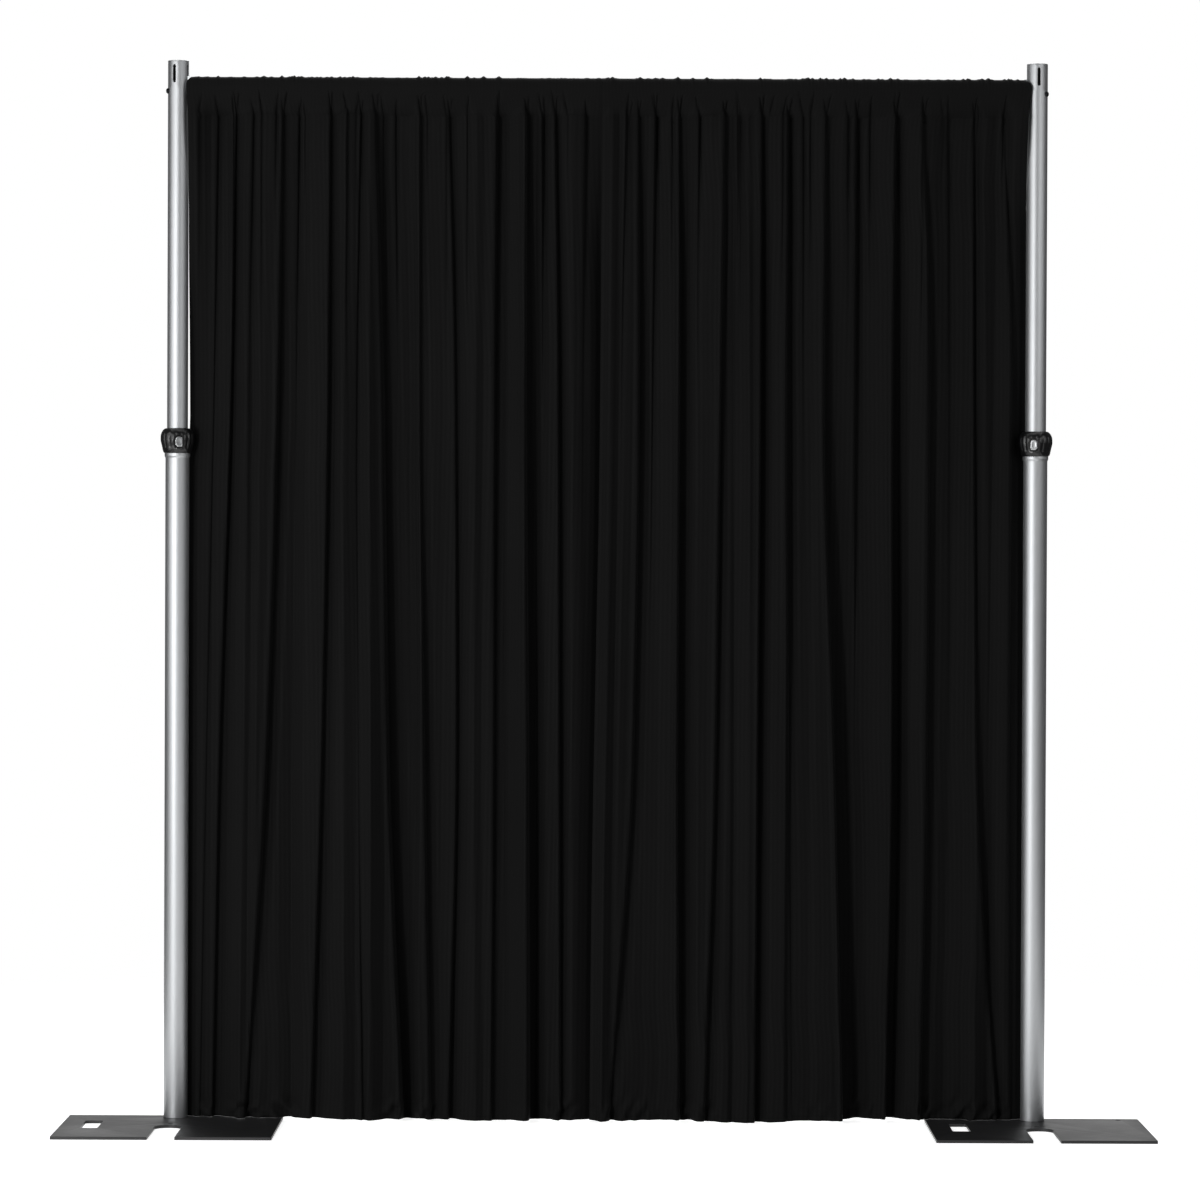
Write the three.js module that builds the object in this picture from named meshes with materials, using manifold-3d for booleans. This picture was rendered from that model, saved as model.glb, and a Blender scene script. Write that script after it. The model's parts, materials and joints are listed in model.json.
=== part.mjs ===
// Pipe and drape backdrop. Two telescoping aluminium uprights stand on flat steel base plates, a
// telescoping crossbar hooks into slots at their tops, and two gathered cloth panels hang on the
// crossbar by their rod pockets.
// Millimetres. The origin is on the floor, midway between the uprights and midway from the front edges
// of the base plates to the backs of the collars. +X is to the right, -Y towards the viewer, +Z up.
import * as THREE from 'three';
import { mergeVertices } from 'three/addons/utils/BufferGeometryUtils.js';
import Module from 'manifold-3d';

const wasm = await Module();
wasm.setup();

// The stand as a whole
const postSpacing = 1829; // centre to centre, with the crossbar pushed right in
const overallHeight = 2258; // floor to the top of the uprights
const fitGap = 0.3; // between pieces that touch, seat or slide
const cutOverrun = 4; // how far a cut runs past the face that it opens
const roundSteps = 28; // flats round the large round pieces

// Base plates
const plateWidth = 457.2;
const plateDepth = 355.6;
const plateThickness = 6.35;
const plateCornerRadius = 3;
const postToRearEdge = 28; // from the post's axis to the plate's rear edge
const notchWidth = 57; // the notch in the middle of the front edge, with a round end
const notchDepth = 192;
const handHoleWidth = 37;
const handHoleDepth = 119;
const handHoleCornerRadius = 5;
const handHoleFromSide = 45; // from the plate's left edge
const handHoleFromFront = 142;
const hangHoleRadius = 6;
const hangHoleBehindNotch = 29; // from the end of the notch to the hole's centre
const cornerHoleFromSide = 44; // from the plate's right edge
const cornerHoleFromRear = 19;

// Slip-fit pins on the plates, each held by one countersunk screw from below
const pinRadius = 22.2;
const pinWall = 3;
const pinHeight = 152;
const pinFloor = 10;
const pinLeadIn = 4; // the chamfer that guides the post on
const screwRadius = 6;
const screwHeadRadius = 11;
const screwHeadHeight = 4.5;
const screwHeadInset = 0.5; // from the plate's underside up to the head
const screwThreadInFloor = 9;
const screwSocketRadius = 4;
const screwSocketDepth = 2.5;

// Tubes of the uprights
const tubeWall = 1.6;
const lowerTubeRadius = 25.4;
const lowerTubeTop = 1423;
const flareStep = 1.9; // how far the lower tube opens out at its top end
const flareRingHeight = 5;
const flareNeckHeight = 6;
const upperTubeRadius = 22.225;
const tubeEdgeRound = 0.6;
const leftTubeTurn = 18.4; // degrees that each upper tube's slots are turned outwards from the front
const rightTubeTurn = 4.7;

// Slots and stop buttons at the tops of the upper tubes
const slotWidth = 6.4;
const slotHeight = 38.5;
const slotFromTop = 9;
const slotCount = 4;
const buttonFromTop = 64.5;
const buttonFromSlot = 50; // degrees from the front slot, outwards
const buttonRadius = 6;
const buttonHeight = 5.5;
const buttonStemRadius = 3;
const buttonClinchRadius = 4.5;
const buttonClinchHeight = 1.5;

// Guides between the two tubes of an upright
const sleeveLength = 100; // the sleeve in the lower tube's top end
const bushLength = 60; // the bush on the upper tube's bottom end
const bushFloor = 3;
const bushToSleeve = 183.3; // how much further the upper tube can rise

// Height collar: a ribbed barrel that seats on the flared end of the lower tube
const collarHeight = 52.5;
const collarSwell = 8.7; // from its foot out to its belly
const collarRimWall = 3;
const collarBoreGap = 0.5;
const collarFootShares = [[0, 0], [0.06, 0.34], [0.28, 0.63], [0.44, 0.9]]; // height, and swell so far
const collarCrownShares = [[0.57, 1], [0.72, 0.95], [0.85, 0.69], [0.95, 0.3], [1, 0]]; // swell that is left
const ribCount = 16;
const ribStepsEach = 4;
const ribDepth = 1.5;
const ribFadeShares = [0.16, 0.3, 0.76, 0.92]; // of the collar's height: fade in, full, full, fade out

// Release lever of the clamp in the collar, on its own pin and spring
const leverTurn = 11; // degrees inwards from the front
const leverWidth = 14;
const leverHeight = 21.7;
const leverFromFoot = 13.2; // from the collar's foot up to the lever's lower edge
const leverThickness = 2.6;
const leverProud = 1; // out of the floor of its recess
const leverSideGap = 0.6;
const leverTopGap = 1.3; // the room that the lever's upper edge swings in
const recessDepth = 3.5;
const recessWidth = 27;
const recessHeight = 30;
const pivotFromEdge = 6; // from the lever's lower edge up to its pin
const pivotStandOff = 5.2; // from the upper tube's wall out to the pin
const leverPinRadius = 1.5;
const leverPinLength = 22;
const camWidth = 7;
const camHub = 3.6;
const camDrop = 0.8; // how far the cam's centre lies below the pin
const camGap = 0.35; // between the cam's nose and the upper tube
const springWire = 0.7;
const springTurns = 2;
const springPitch = 1.25;
const springGap = 0.7; // between the spring's turns and the pin

// Crossbar: a smaller tube slides in a larger one, with a steel hook in each outer end
const barRadius = 15.875;
const barWall = 1.2;
const barInnerRadius = 14.2875;
const barBelowTop = 52; // from the top of the uprights down to the bar's axis
const barToPost = 6; // between the bar's ends and the uprights
const barMouthToPost = 46; // between the larger tube's open end and the right upright
const hookThickness = 3;
const hookPlugLength = 32;
const hookHeight = 29;
const hookNeckHeight = 14;
const hookTipDrop = 12; // how far the tip reaches below the neck, inside the upright
const hookTipWidth = 5;
const hookCornerRadius = 2;
const hookSeatGap = 0.2; // between the neck and the round end of its slot
const rivetRadius = 2.4;
const rivetHeadRadius = 4.2;
const rivetHeadHeight = 1.1;
const rivetFromEnd = 16;
const guidePlugLength = 24; // the plug in the smaller tube's hidden end
const guidePlugHead = 4;
const guidePlugToHook = 236.25; // between the plug and the left hook, with the crossbar pushed right in

// Cloth panels
const clothThickness = 1.5;
const pocketWall = 1.7; // cloth and its gathers, round the bar
const pocketDepth = 84; // from the top of the pocket down to its seam
const pocketSlack = 2.3; // how far the pocket hangs below a close fit on the bar, clear of the rivets
const panelToPost = 3.5; // between a panel's outer edge and the upright
const panelMeetingGap = 3;
const panelMeetingLean = 26; // how far the line where the panels meet leans to the left at the hem
const hemAbovePlate = 2.5;
const foldDepth = 26; // how far the folds stand forward and back of the bar at the hem
const gatherDepth = 8; // the same, just under the seam
const pocketRipple = 1.2;
const lowerRowShares = [0, 0.12, 0.34, 0.66]; // rows of the sheet, from the hem up to the collar's middle
const upperRowShares = [0, 0.6, 1]; // and from there up to the seam
const edgePinchReach = 400; // how far above and below the collars the outer edges draw in past them
const pocketRingAngles = [-36, -6, 24, 57, 90]; // degrees round the bar, up from the front
const columnsPerFold = 5;
const leftValleyHemShares = [0.136, 0.235, 0.339, 0.512, 0.589, 0.698, 0.822, 0.898];
const leftValleyTopShares = [0.095, 0.19, 0.31, 0.43, 0.535, 0.655, 0.79, 0.88];
const rightValleyHemShares = [0.108, 0.208, 0.302, 0.396, 0.474, 0.575, 0.705, 0.797, 0.899];
const rightValleyTopShares = [0.115, 0.198, 0.28, 0.383, 0.471, 0.579, 0.69, 0.781, 0.888];

// Sizes that follow from the ones above
const postFoot = plateThickness + fitGap;
const lowerBore = lowerTubeRadius - tubeWall;
const upperBore = upperTubeRadius - tubeWall;
const flareRadius = lowerTubeRadius + flareStep;
const bushBottom = lowerTubeTop - sleeveLength - bushToSleeve - bushLength;
const upperTubeFoot = bushBottom + bushFloor + fitGap;
const slotBottom = overallHeight - slotFromTop - slotHeight;
const barZ = overallHeight - barBelowTop;
const barEnd = postSpacing / 2 - upperTubeRadius - barToPost;
const barInnerEnd = hookPlugLength + guidePlugToHook + guidePlugHead + fitGap - barEnd;
const collarBelly = lowerTubeRadius + flareStep + collarSwell;
const postY = (plateDepth - postToRearEdge - Math.max(postToRearEdge, collarBelly)) / 2;
const bladeOffsets = { left: bladeOffset(leftTubeTurn), right: bladeOffset(rightTubeTurn) };
const barY = postY - (bladeOffsets.left + bladeOffsets.right) / 2;
const collarFoot = lowerTubeTop + fitGap;
const collarBore = upperTubeRadius + collarBoreGap;
const collarRim = collarBore + collarRimWall;
const pivotRadius = upperTubeRadius + pivotStandOff;
const pivotZ = collarFoot + leverFromFoot + pivotFromEdge;
const leverFace = collarBelly - recessDepth + leverProud;
const collarMiddle = collarFoot + collarHeight / 2;

// How far in front of the post's axis a hook's blade must lie to pass straight through its slot.
function bladeOffset(turn) {
  return upperTubeRadius * Math.sin(radians(turn));
}

function radians(degrees) {
  return degrees * Math.PI / 180;
}

// Materials, one function because each mesh has its own
function finish(color, roughness, metalness) {
  return () => new THREE.MeshStandardMaterial({ color, roughness, metalness });
}
const anodisedAluminium = finish(0xb4b6b8, 0.34, 1);
const powderCoatedSteel = finish(0x38393b, 0.48, 0.2);
const blackNylon = finish(0x111213, 0.32, 0);
const naturalNylon = finish(0xd8d6cc, 0.5, 0);
const zincPlatedSteel = finish(0xa9abad, 0.35, 1);
const blackenedSteel = finish(0x2a2a2c, 0.4, 0.8);
const blackCloth = finish(0x0d0d0e, 0.9, 0);

// Turns the faces of a closed shell outwards if they point in.
function faceOutwards(geometry) {
  const at = geometry.attributes.position;
  const order = geometry.index.array;
  const [a, b, c] = [new THREE.Vector3(), new THREE.Vector3(), new THREE.Vector3()];
  let sixVolumes = 0;
  for (let i = 0; i < order.length; i += 3) {
    a.fromBufferAttribute(at, order[i]);
    b.fromBufferAttribute(at, order[i + 1]);
    c.fromBufferAttribute(at, order[i + 2]);
    sixVolumes += a.dot(b.cross(c));
  }
  if (sixVolumes < 0) {
    for (let i = 0; i < order.length; i += 3) {
      [order[i], order[i + 1]] = [order[i + 1], order[i]];
    }
  }
  return geometry;
}

// Keeps only the positions of a geometry and joins the vertices that faces share.
function welded(geometry) {
  const shell = geometry.clone();
  shell.deleteAttribute('normal');
  shell.deleteAttribute('uv');
  return mergeVertices(shell);
}

function toSolid(geometry) {
  const shell = faceOutwards(welded(geometry));
  return new wasm.Manifold(new wasm.Mesh({
    numProp: 3,
    vertProperties: new Float32Array(shell.attributes.position.array),
    triVerts: new Uint32Array(shell.index.array),
  }));
}

function toGeometry(solid) {
  const mesh = solid.getMesh();
  const geometry = new THREE.BufferGeometry();
  geometry.setAttribute('position', new THREE.BufferAttribute(new Float32Array(mesh.vertProperties), 3));
  geometry.setIndex(new THREE.BufferAttribute(new Uint32Array(mesh.triVerts), 1));
  return geometry;
}

function cut(geometry, ...cutters) {
  return toGeometry(cutters.reduce((solid, cutter) => solid.subtract(toSolid(cutter)), toSolid(geometry)));
}

function join(geometry, ...others) {
  return toGeometry(others.reduce((solid, other) => solid.add(toSolid(other)), toSolid(geometry)));
}

// Revolves [radius, height] points about +Z. The outline starts and ends on the axis, or is closed.
function revolve(outline, steps = roundSteps) {
  const points = outline.map(([radius, height]) => new THREE.Vector2(radius, height));
  return faceOutwards(welded(new THREE.LatheGeometry(points, steps).rotateX(Math.PI / 2)));
}

// A ring whose outline of [radius, height] points closes on its first point.
function ring(outline, steps = roundSteps) {
  return revolve([...outline, outline[0]], steps);
}

// A straight tube along +Z with small rounded edges at both ends.
function tube(radius, wall, bottom, top) {
  const inner = radius - wall;
  return ring([
    [inner, bottom], [radius - tubeEdgeRound, bottom], [radius, bottom + tubeEdgeRound],
    [radius, top - tubeEdgeRound], [radius - tubeEdgeRound, top], [inner, top],
  ]);
}

function slab(shape, depth, curveSegments = 4) {
  return new THREE.ExtrudeGeometry(shape, { depth, bevelEnabled: false, curveSegments });
}

// A rod along +Y, or any axis that the caller turns it to, centred on the origin.
function rod(radius, length, sides = 16) {
  return new THREE.CylinderGeometry(radius, radius, length, sides);
}

// Carries a piece made facing the front, -Y, round the post's axis by an angle in degrees.
function turned(geometry, degrees) {
  return geometry.rotateZ(radians(degrees));
}

function roundedRectangle(path, left, bottom, width, height, radius) {
  const [right, top] = [left + width, bottom + height];
  const quarter = Math.PI / 2;
  path.moveTo(left + radius, bottom);
  path.lineTo(right - radius, bottom);
  path.absarc(right - radius, bottom + radius, radius, -quarter, 0, false);
  path.lineTo(right, top - radius);
  path.absarc(right - radius, top - radius, radius, 0, quarter, false);
  path.lineTo(left + radius, top);
  path.absarc(left + radius, top - radius, radius, quarter, 2 * quarter, false);
  path.lineTo(left, bottom + radius);
  path.absarc(left + radius, bottom + radius, radius, 2 * quarter, 3 * quarter, false);
  return path;
}

function roundHole(x, y, radius) {
  const hole = new THREE.Path();
  hole.absarc(x, y, radius, 0, -Math.PI, true);
  hole.absarc(x, y, radius, Math.PI, 0, true);
  return hole;
}

// The plate's outline seen from above, with the post's axis at its origin and the front at -Y.
function plateShape() {
  const [left, right] = [-plateWidth / 2, plateWidth / 2];
  const [front, rear] = [postToRearEdge - plateDepth, postToRearEdge];
  const notchHalf = notchWidth / 2;
  const quarter = Math.PI / 2;
  const corner = plateCornerRadius;
  const shape = new THREE.Shape();
  shape.moveTo(left + corner, front);
  shape.lineTo(-notchHalf, front);
  shape.lineTo(-notchHalf, front + notchDepth - notchHalf);
  shape.absarc(0, front + notchDepth - notchHalf, notchHalf, 2 * quarter, quarter, true);
  shape.absarc(0, front + notchDepth - notchHalf, notchHalf, quarter, 0, true);
  shape.lineTo(notchHalf, front);
  shape.lineTo(right - corner, front);
  shape.absarc(right - corner, front + corner, corner, -quarter, 0, false);
  shape.lineTo(right, rear - corner);
  shape.absarc(right - corner, rear - corner, corner, 0, quarter, false);
  shape.lineTo(left + corner, rear);
  shape.absarc(left + corner, rear - corner, corner, quarter, 2 * quarter, false);
  shape.lineTo(left, front + corner);
  shape.absarc(left + corner, front + corner, corner, 2 * quarter, 3 * quarter, false);
  shape.holes.push(
    roundedRectangle(new THREE.Path(), left + handHoleFromSide, front + handHoleFromFront,
      handHoleWidth, handHoleDepth, handHoleCornerRadius),
    roundHole(0, front + notchDepth + hangHoleBehindNotch, hangHoleRadius),
    roundHole(right - cornerHoleFromSide, rear - cornerHoleFromRear, hangHoleRadius),
  );
  return shape;
}

// The countersunk screw's outline. The same outline, grown by a gap, cuts the hole that it sits in.
function screwOutline(grow, headBottom, top) {
  const headTop = screwHeadInset + screwHeadHeight + grow;
  return [
    [0, headBottom], [screwHeadRadius + grow, headBottom], [screwHeadRadius + grow, screwHeadInset + grow],
    [screwRadius + grow, headTop], [screwRadius + grow, top], [0, top],
  ];
}

function basePlate() {
  const hole = revolve(screwOutline(fitGap, -cutOverrun, plateThickness + cutOverrun));
  return cut(slab(plateShape(), plateThickness), hole);
}

function basePin() {
  const [bottom, top] = [postFoot, postFoot + pinHeight];
  const bore = pinRadius - pinWall;
  const leadRadius = pinRadius - pinWall / 2;
  return ring([
    [screwRadius + fitGap, bottom], [pinRadius, bottom], [pinRadius, top - pinLeadIn],
    [leadRadius, top], [bore, top], [bore, bottom + pinFloor], [screwRadius + fitGap, bottom + pinFloor],
  ]);
}

function basePinScrew() {
  const screw = revolve(screwOutline(0, screwHeadInset, postFoot + screwThreadInFloor));
  const socket = rod(screwSocketRadius, 2 * screwSocketDepth, 6).rotateX(Math.PI / 2);
  return cut(screw, socket.translate(0, 0, screwHeadInset));
}

// The lower tube's wall swells smoothly by the flare's step just under the ring at its top.
function flareOutline(radius, top) {
  const shares = [0, 0.3, 0.7, 1];
  const neck = shares.map((share) => [
    radius + flareStep * (1 - Math.cos(Math.PI * share)) / 2,
    top - flareRingHeight - flareNeckHeight * (1 - share),
  ]);
  return [...neck, [radius + flareStep, top]];
}

function lowerTube() {
  return ring([
    [lowerBore, postFoot], [lowerTubeRadius, postFoot],
    ...flareOutline(lowerTubeRadius, lowerTubeTop),
    ...flareOutline(lowerBore, lowerTubeTop).reverse(),
  ]);
}

// The sleeve fills the play between the two tubes, and the flare of the lower one.
function guideSleeve() {
  const bottom = lowerTubeTop - sleeveLength;
  const bore = upperTubeRadius + fitGap;
  return ring([
    [bore, bottom], [lowerBore - fitGap, bottom],
    ...flareOutline(lowerBore - fitGap, lowerTubeTop), [bore, lowerTubeTop],
  ]);
}

// The bush is a cup that slides in the lower tube, with the upper tube's end standing in it.
function guideBush() {
  const [floor, top] = [bushBottom + bushFloor, bushBottom + bushLength];
  const [outer, cup, bore] = [lowerBore - fitGap, upperTubeRadius + fitGap, upperBore];
  return ring([
    [bore, bushBottom], [outer, bushBottom], [outer, top], [cup, top], [cup, floor], [bore, floor],
  ]);
}

// A slot's cutter: an upright slot with round ends that runs out through the wall towards the front.
function slotCutter(degrees) {
  const shape = new THREE.Shape();
  roundedRectangle(shape, -slotWidth / 2, slotBottom, slotWidth, slotHeight, slotWidth / 2);
  const cutter = slab(shape, tubeWall + 2 * cutOverrun, 2).rotateX(Math.PI / 2);
  return turned(cutter.translate(0, cutOverrun - upperBore, 0), degrees);
}

function upperTube(outwards, tubeTurn) {
  const cutters = [];
  for (let i = 0; i < slotCount; i += 1) {
    cutters.push(slotCutter(outwards * tubeTurn + 360 * i / slotCount));
  }
  const stemHole = rod(buttonStemRadius + fitGap, tubeWall + 2 * cutOverrun)
    .translate(0, -upperBore, overallHeight - buttonFromTop);
  cutters.push(turned(stemHole, outwards * (tubeTurn + buttonFromSlot)));
  return cut(tube(upperTubeRadius, tubeWall, upperTubeFoot, overallHeight), ...cutters);
}

// A domed rivet whose stem goes through the tube's wall and is clinched inside it.
function stopButton(outwards, tubeTurn) {
  const base = upperTubeRadius + fitGap;
  const clinchFace = Math.sqrt(upperBore ** 2 - buttonClinchRadius ** 2) - fitGap;
  const dome = [0, 0.3, 0.65, 1].map((share) => [
    buttonRadius * Math.cos(share * Math.PI / 2),
    base + buttonHeight * Math.sin(share * Math.PI / 2),
  ]);
  dome[dome.length - 1][0] = 0;
  const button = revolve([
    [0, clinchFace - buttonClinchHeight], [buttonClinchRadius, clinchFace - buttonClinchHeight],
    [buttonClinchRadius, clinchFace], [buttonStemRadius, clinchFace], [buttonStemRadius, base], ...dome,
  ], 16);
  button.rotateX(Math.PI / 2).translate(0, 0, overallHeight - buttonFromTop);
  return turned(button, outwards * (tubeTurn + buttonFromSlot));
}

// How fully the collar's grip ribs stand at a height: they fade in above the foot and out at the crown.
function ribFade(height) {
  const [low, full, high, out] = ribFadeShares.map((share) => share * collarHeight + collarFoot);
  const smooth = THREE.MathUtils.smoothstep;
  return smooth(height, low, full) * (1 - smooth(height, high, out));
}

// The barrel: its outline runs up the outside and down the bore. Between two ribs the surface draws in
// along a cusp, so each rib is a convex pad.
function collarBarrel() {
  const outside = [
    ...collarFootShares.map(([up, swell]) => [flareRadius + collarSwell * swell, up]),
    ...collarCrownShares.map(([up, swell]) => [collarRim + (collarBelly - collarRim) * swell, up]),
  ].map(([radius, up]) => [radius, collarFoot + collarHeight * up]);
  const outline = [...outside, [collarBore, collarFoot + collarHeight], [collarBore, collarFoot]];
  const steps = ribCount * ribStepsEach;
  const positions = [];
  const order = [];
  for (let i = 0; i < steps; i += 1) {
    const angle = 2 * Math.PI * i / steps;
    const groove = ribDepth * (1 - Math.abs(Math.cos(ribCount * angle / 2)));
    outline.forEach(([radius, height]) => {
      const ribbed = radius > collarBore ? radius - groove * ribFade(height) : radius;
      positions.push(ribbed * Math.sin(angle), -ribbed * Math.cos(angle), height);
    });
  }
  for (let i = 0; i < steps; i += 1) {
    for (let j = 0; j < outline.length; j += 1) {
      const [next, up] = [(i + 1) % steps, (j + 1) % outline.length];
      const [a, b] = [i * outline.length + j, next * outline.length + j];
      const [c, d] = [next * outline.length + up, i * outline.length + up];
      order.push(a, b, c, a, c, d);
    }
  }
  const geometry = new THREE.BufferGeometry();
  geometry.setAttribute('position', new THREE.Float32BufferAttribute(positions, 3));
  geometry.setIndex(order);
  return faceOutwards(geometry);
}

// An upright outline with a flat foot and a round top, the shape of the lever and of its window.
function archShape(width, bottom, height) {
  const half = width / 2;
  const shape = new THREE.Shape();
  shape.moveTo(-half, bottom);
  shape.lineTo(half, bottom);
  shape.lineTo(half, bottom + height - half);
  shape.absarc(0, bottom + height - half, half, 0, Math.PI, false);
  return shape;
}

// A slab of an upright outline that faces the front, from an inner distance to an outer one.
function facingSlab(shape, inner, outer) {
  return slab(shape, outer - inner).rotateX(Math.PI / 2).translate(0, -inner, 0);
}

function collar() {
  const leverFoot = collarFoot + leverFromFoot;
  const oval = new THREE.Shape();
  oval.absellipse(
    0, leverFoot + leverHeight / 2, recessWidth / 2, recessHeight / 2, 0, 2 * Math.PI, false, 0);
  const recess = facingSlab(oval, collarBelly - recessDepth, collarBelly + cutOverrun);
  const window = facingSlab(
    archShape(leverWidth + 2 * leverSideGap, leverFoot - leverSideGap, leverHeight + leverSideGap + leverTopGap),
    collarBore - cutOverrun, collarBelly + cutOverrun);
  const pinHole = rod(leverPinRadius + fitGap, leverPinLength + 2 * fitGap).rotateZ(Math.PI / 2);
  return cut(collarBarrel(), recess, window, pinHole.translate(0, -pivotRadius, pivotZ));
}

// The lever: an arched finger plate with a cam behind it. The cam's nose lies against the upper tube.
function camLever() {
  const leverFoot = collarFoot + leverFromFoot;
  const back = leverFace - leverThickness;
  const plate = facingSlab(archShape(leverWidth, leverFoot, leverHeight), back, leverFace);
  const reach = pivotStandOff - camGap;
  const cam = new THREE.Shape();
  const joint = back - pivotRadius + leverThickness / 2; // the cam runs into the plate to here
  cam.moveTo(joint, camHub);
  cam.lineTo(0, camHub);
  cam.absarc(0, -camDrop, reach, Math.PI * 5 / 6, Math.PI * 7 / 6, false);
  cam.lineTo(0, -camHub);
  cam.lineTo(joint, -camHub);
  const outwardsUpAcross = new THREE.Matrix4().makeBasis(
    new THREE.Vector3(0, -1, 0), new THREE.Vector3(0, 0, 1), new THREE.Vector3(-1, 0, 0));
  const block = slab(cam, camWidth).applyMatrix4(outwardsUpAcross);
  block.translate(camWidth / 2, -pivotRadius, pivotZ);
  const pinHole = rod(leverPinRadius + fitGap, leverWidth + 2 * cutOverrun).rotateZ(Math.PI / 2);
  return cut(join(plate, block), pinHole.translate(0, -pivotRadius, pivotZ));
}

function leverPin() {
  return rod(leverPinRadius, leverPinLength).rotateZ(Math.PI / 2).translate(0, -pivotRadius, pivotZ);
}

// The torsion spring is a helix round the pin, beside the cam, with a short straight leg at each end.
function leverSpring() {
  const radius = leverPinRadius + springGap + springWire / 2;
  const start = camWidth / 2 + fitGap + springWire / 2;
  const stepsPerTurn = 10;
  const points = [];
  for (let i = 0; i <= springTurns * stepsPerTurn; i += 1) {
    const angle = 2 * Math.PI * i / stepsPerTurn;
    points.push(new THREE.Vector3(
      start + springPitch * i / stepsPerTurn, radius * Math.cos(angle), radius * Math.sin(angle)));
  }
  const leg = radius / 2;
  points.unshift(points[0].clone().add(new THREE.Vector3(0, 0, -leg)));
  points.push(points[points.length - 1].clone().add(new THREE.Vector3(0, 0, leg)));
  const section = new THREE.Shape();
  section.absarc(0, 0, springWire / 2, 0, 2 * Math.PI, false);
  const spring = new THREE.ExtrudeGeometry(section, {
    steps: springTurns * stepsPerTurn + 2, curveSegments: 3, bevelEnabled: false,
    extrudePath: new THREE.CatmullRomCurve3(points),
  });
  return welded(spring).translate(0, -pivotRadius, pivotZ);
}

// A hook's outline, from the bar's end out to the post: the blade, the neck that passes through the
// slot, and the tip that drops behind the tube's wall. Its origin is on the bar's axis at its end.
function hookShape(turn) {
  const offset = bladeOffset(turn);
  const wallOuter = Math.sqrt(upperTubeRadius ** 2 - offset ** 2);
  const reach = Math.abs(offset) + hookThickness / 2;
  const wallInner = Math.sqrt(upperBore ** 2 - reach ** 2);
  const postAxis = upperTubeRadius + barToPost;
  const shoulder = postAxis - wallOuter - 2 * fitGap;
  const throat = postAxis - wallInner + fitGap;
  const endRadius = slotWidth / 2;
  const neckHalf = (hookThickness + tubeWall * Math.sin(radians(turn))) / 2 / Math.cos(radians(turn));
  const roundEnd = endRadius - Math.sqrt(endRadius ** 2 - neckHalf ** 2);
  const neckBottom = slotBottom + roundEnd + hookSeatGap - barZ;
  const neckTop = neckBottom + hookNeckHeight;
  const quarter = Math.PI / 2;
  const root = hookHeight / 4;
  const shape = new THREE.Shape();
  shape.moveTo(-hookPlugLength / 2, -root);
  shape.lineTo(fitGap, -root);
  shape.lineTo(fitGap, neckTop - hookHeight);
  shape.lineTo(shoulder, neckTop - hookHeight);
  shape.lineTo(shoulder, neckBottom);
  shape.lineTo(throat, neckBottom);
  shape.lineTo(throat, neckBottom - hookTipDrop);
  shape.lineTo(throat + hookTipWidth, neckBottom - hookTipDrop);
  shape.lineTo(throat + hookTipWidth, neckTop - hookCornerRadius);
  shape.absarc(
    throat + hookTipWidth - hookCornerRadius, neckTop - hookCornerRadius, hookCornerRadius, 0, quarter, false);
  shape.lineTo(fitGap, neckTop);
  shape.lineTo(fitGap, root);
  shape.lineTo(-hookPlugLength / 2, root);
  return shape;
}

// A turned plug that fills the bar's end, slotted on to a flat steel hook. It is made for the right
// end, with its origin on the bar's axis, and turned about for the left one.
function barHook(plugRadius, turn, bladeShift) {
  const plug = rod(plugRadius, hookPlugLength, 24).rotateZ(Math.PI / 2).translate(-hookPlugLength / 2, 0, 0);
  const blade = slab(hookShape(turn), hookThickness, 3).rotateX(Math.PI / 2);
  blade.translate(0, hookThickness / 2 + bladeShift, 0);
  const rivetHole = rod(rivetRadius + fitGap, 2 * (plugRadius + cutOverrun)).translate(-rivetFromEnd, 0, 0);
  return cut(join(plug, blade), rivetHole);
}

// A rivet across the bar, from front to back, with a low head at each end.
function barRivet(outerRadius) {
  const face = outerRadius + fitGap;
  const crown = rivetHeadRadius / 2;
  const half = [
    [rivetRadius, face], [rivetHeadRadius, face], [crown, face + rivetHeadHeight], [0, face + rivetHeadHeight],
  ];
  const otherHalf = half.map(([radius, height]) => [radius, -height]).reverse();
  return revolve([...otherHalf, ...half], 16).rotateX(Math.PI / 2).translate(-rivetFromEnd, 0, 0);
}

// A tube of the crossbar, along X, with the holes for its rivets.
function barTube(radius, from, to, rivetXs) {
  const bar = tube(radius, barWall, from, to).rotateY(Math.PI / 2);
  const holes = rivetXs.map((x) => rod(rivetRadius + fitGap, 2 * (radius + cutOverrun)).translate(x, 0, 0));
  return cut(bar, ...holes);
}

// The plug in the hidden end of the smaller tube: its head runs in the larger one.
function guidePlug() {
  const head = barRadius - barWall - fitGap;
  const stem = barInnerRadius - barWall - fitGap;
  const plug = revolve([[0, -guidePlugHead], [head, -guidePlugHead], [head, 0], [stem, 0],
    [stem, guidePlugLength], [0, guidePlugLength]], 24);
  return plug.rotateY(Math.PI / 2).translate(barInnerEnd - fitGap, 0, 0);
}

// Where the line between the panels lies at a height above the floor.
function meetingLine(height) {
  return -panelMeetingLean * THREE.MathUtils.clamp(1 - height / barZ, 0, 1);
}

// How far from the middle a panel's outer edge lies at a height: close to the lower tube, and drawn in
// past the collar.
function outerEdge(height) {
  const nearness = Math.max(0, 1 - Math.abs(height - collarMiddle) / edgePinchReach);
  return postSpacing / 2 - lowerTubeRadius - panelToPost - nearness * (collarBelly - lowerTubeRadius);
}

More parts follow.
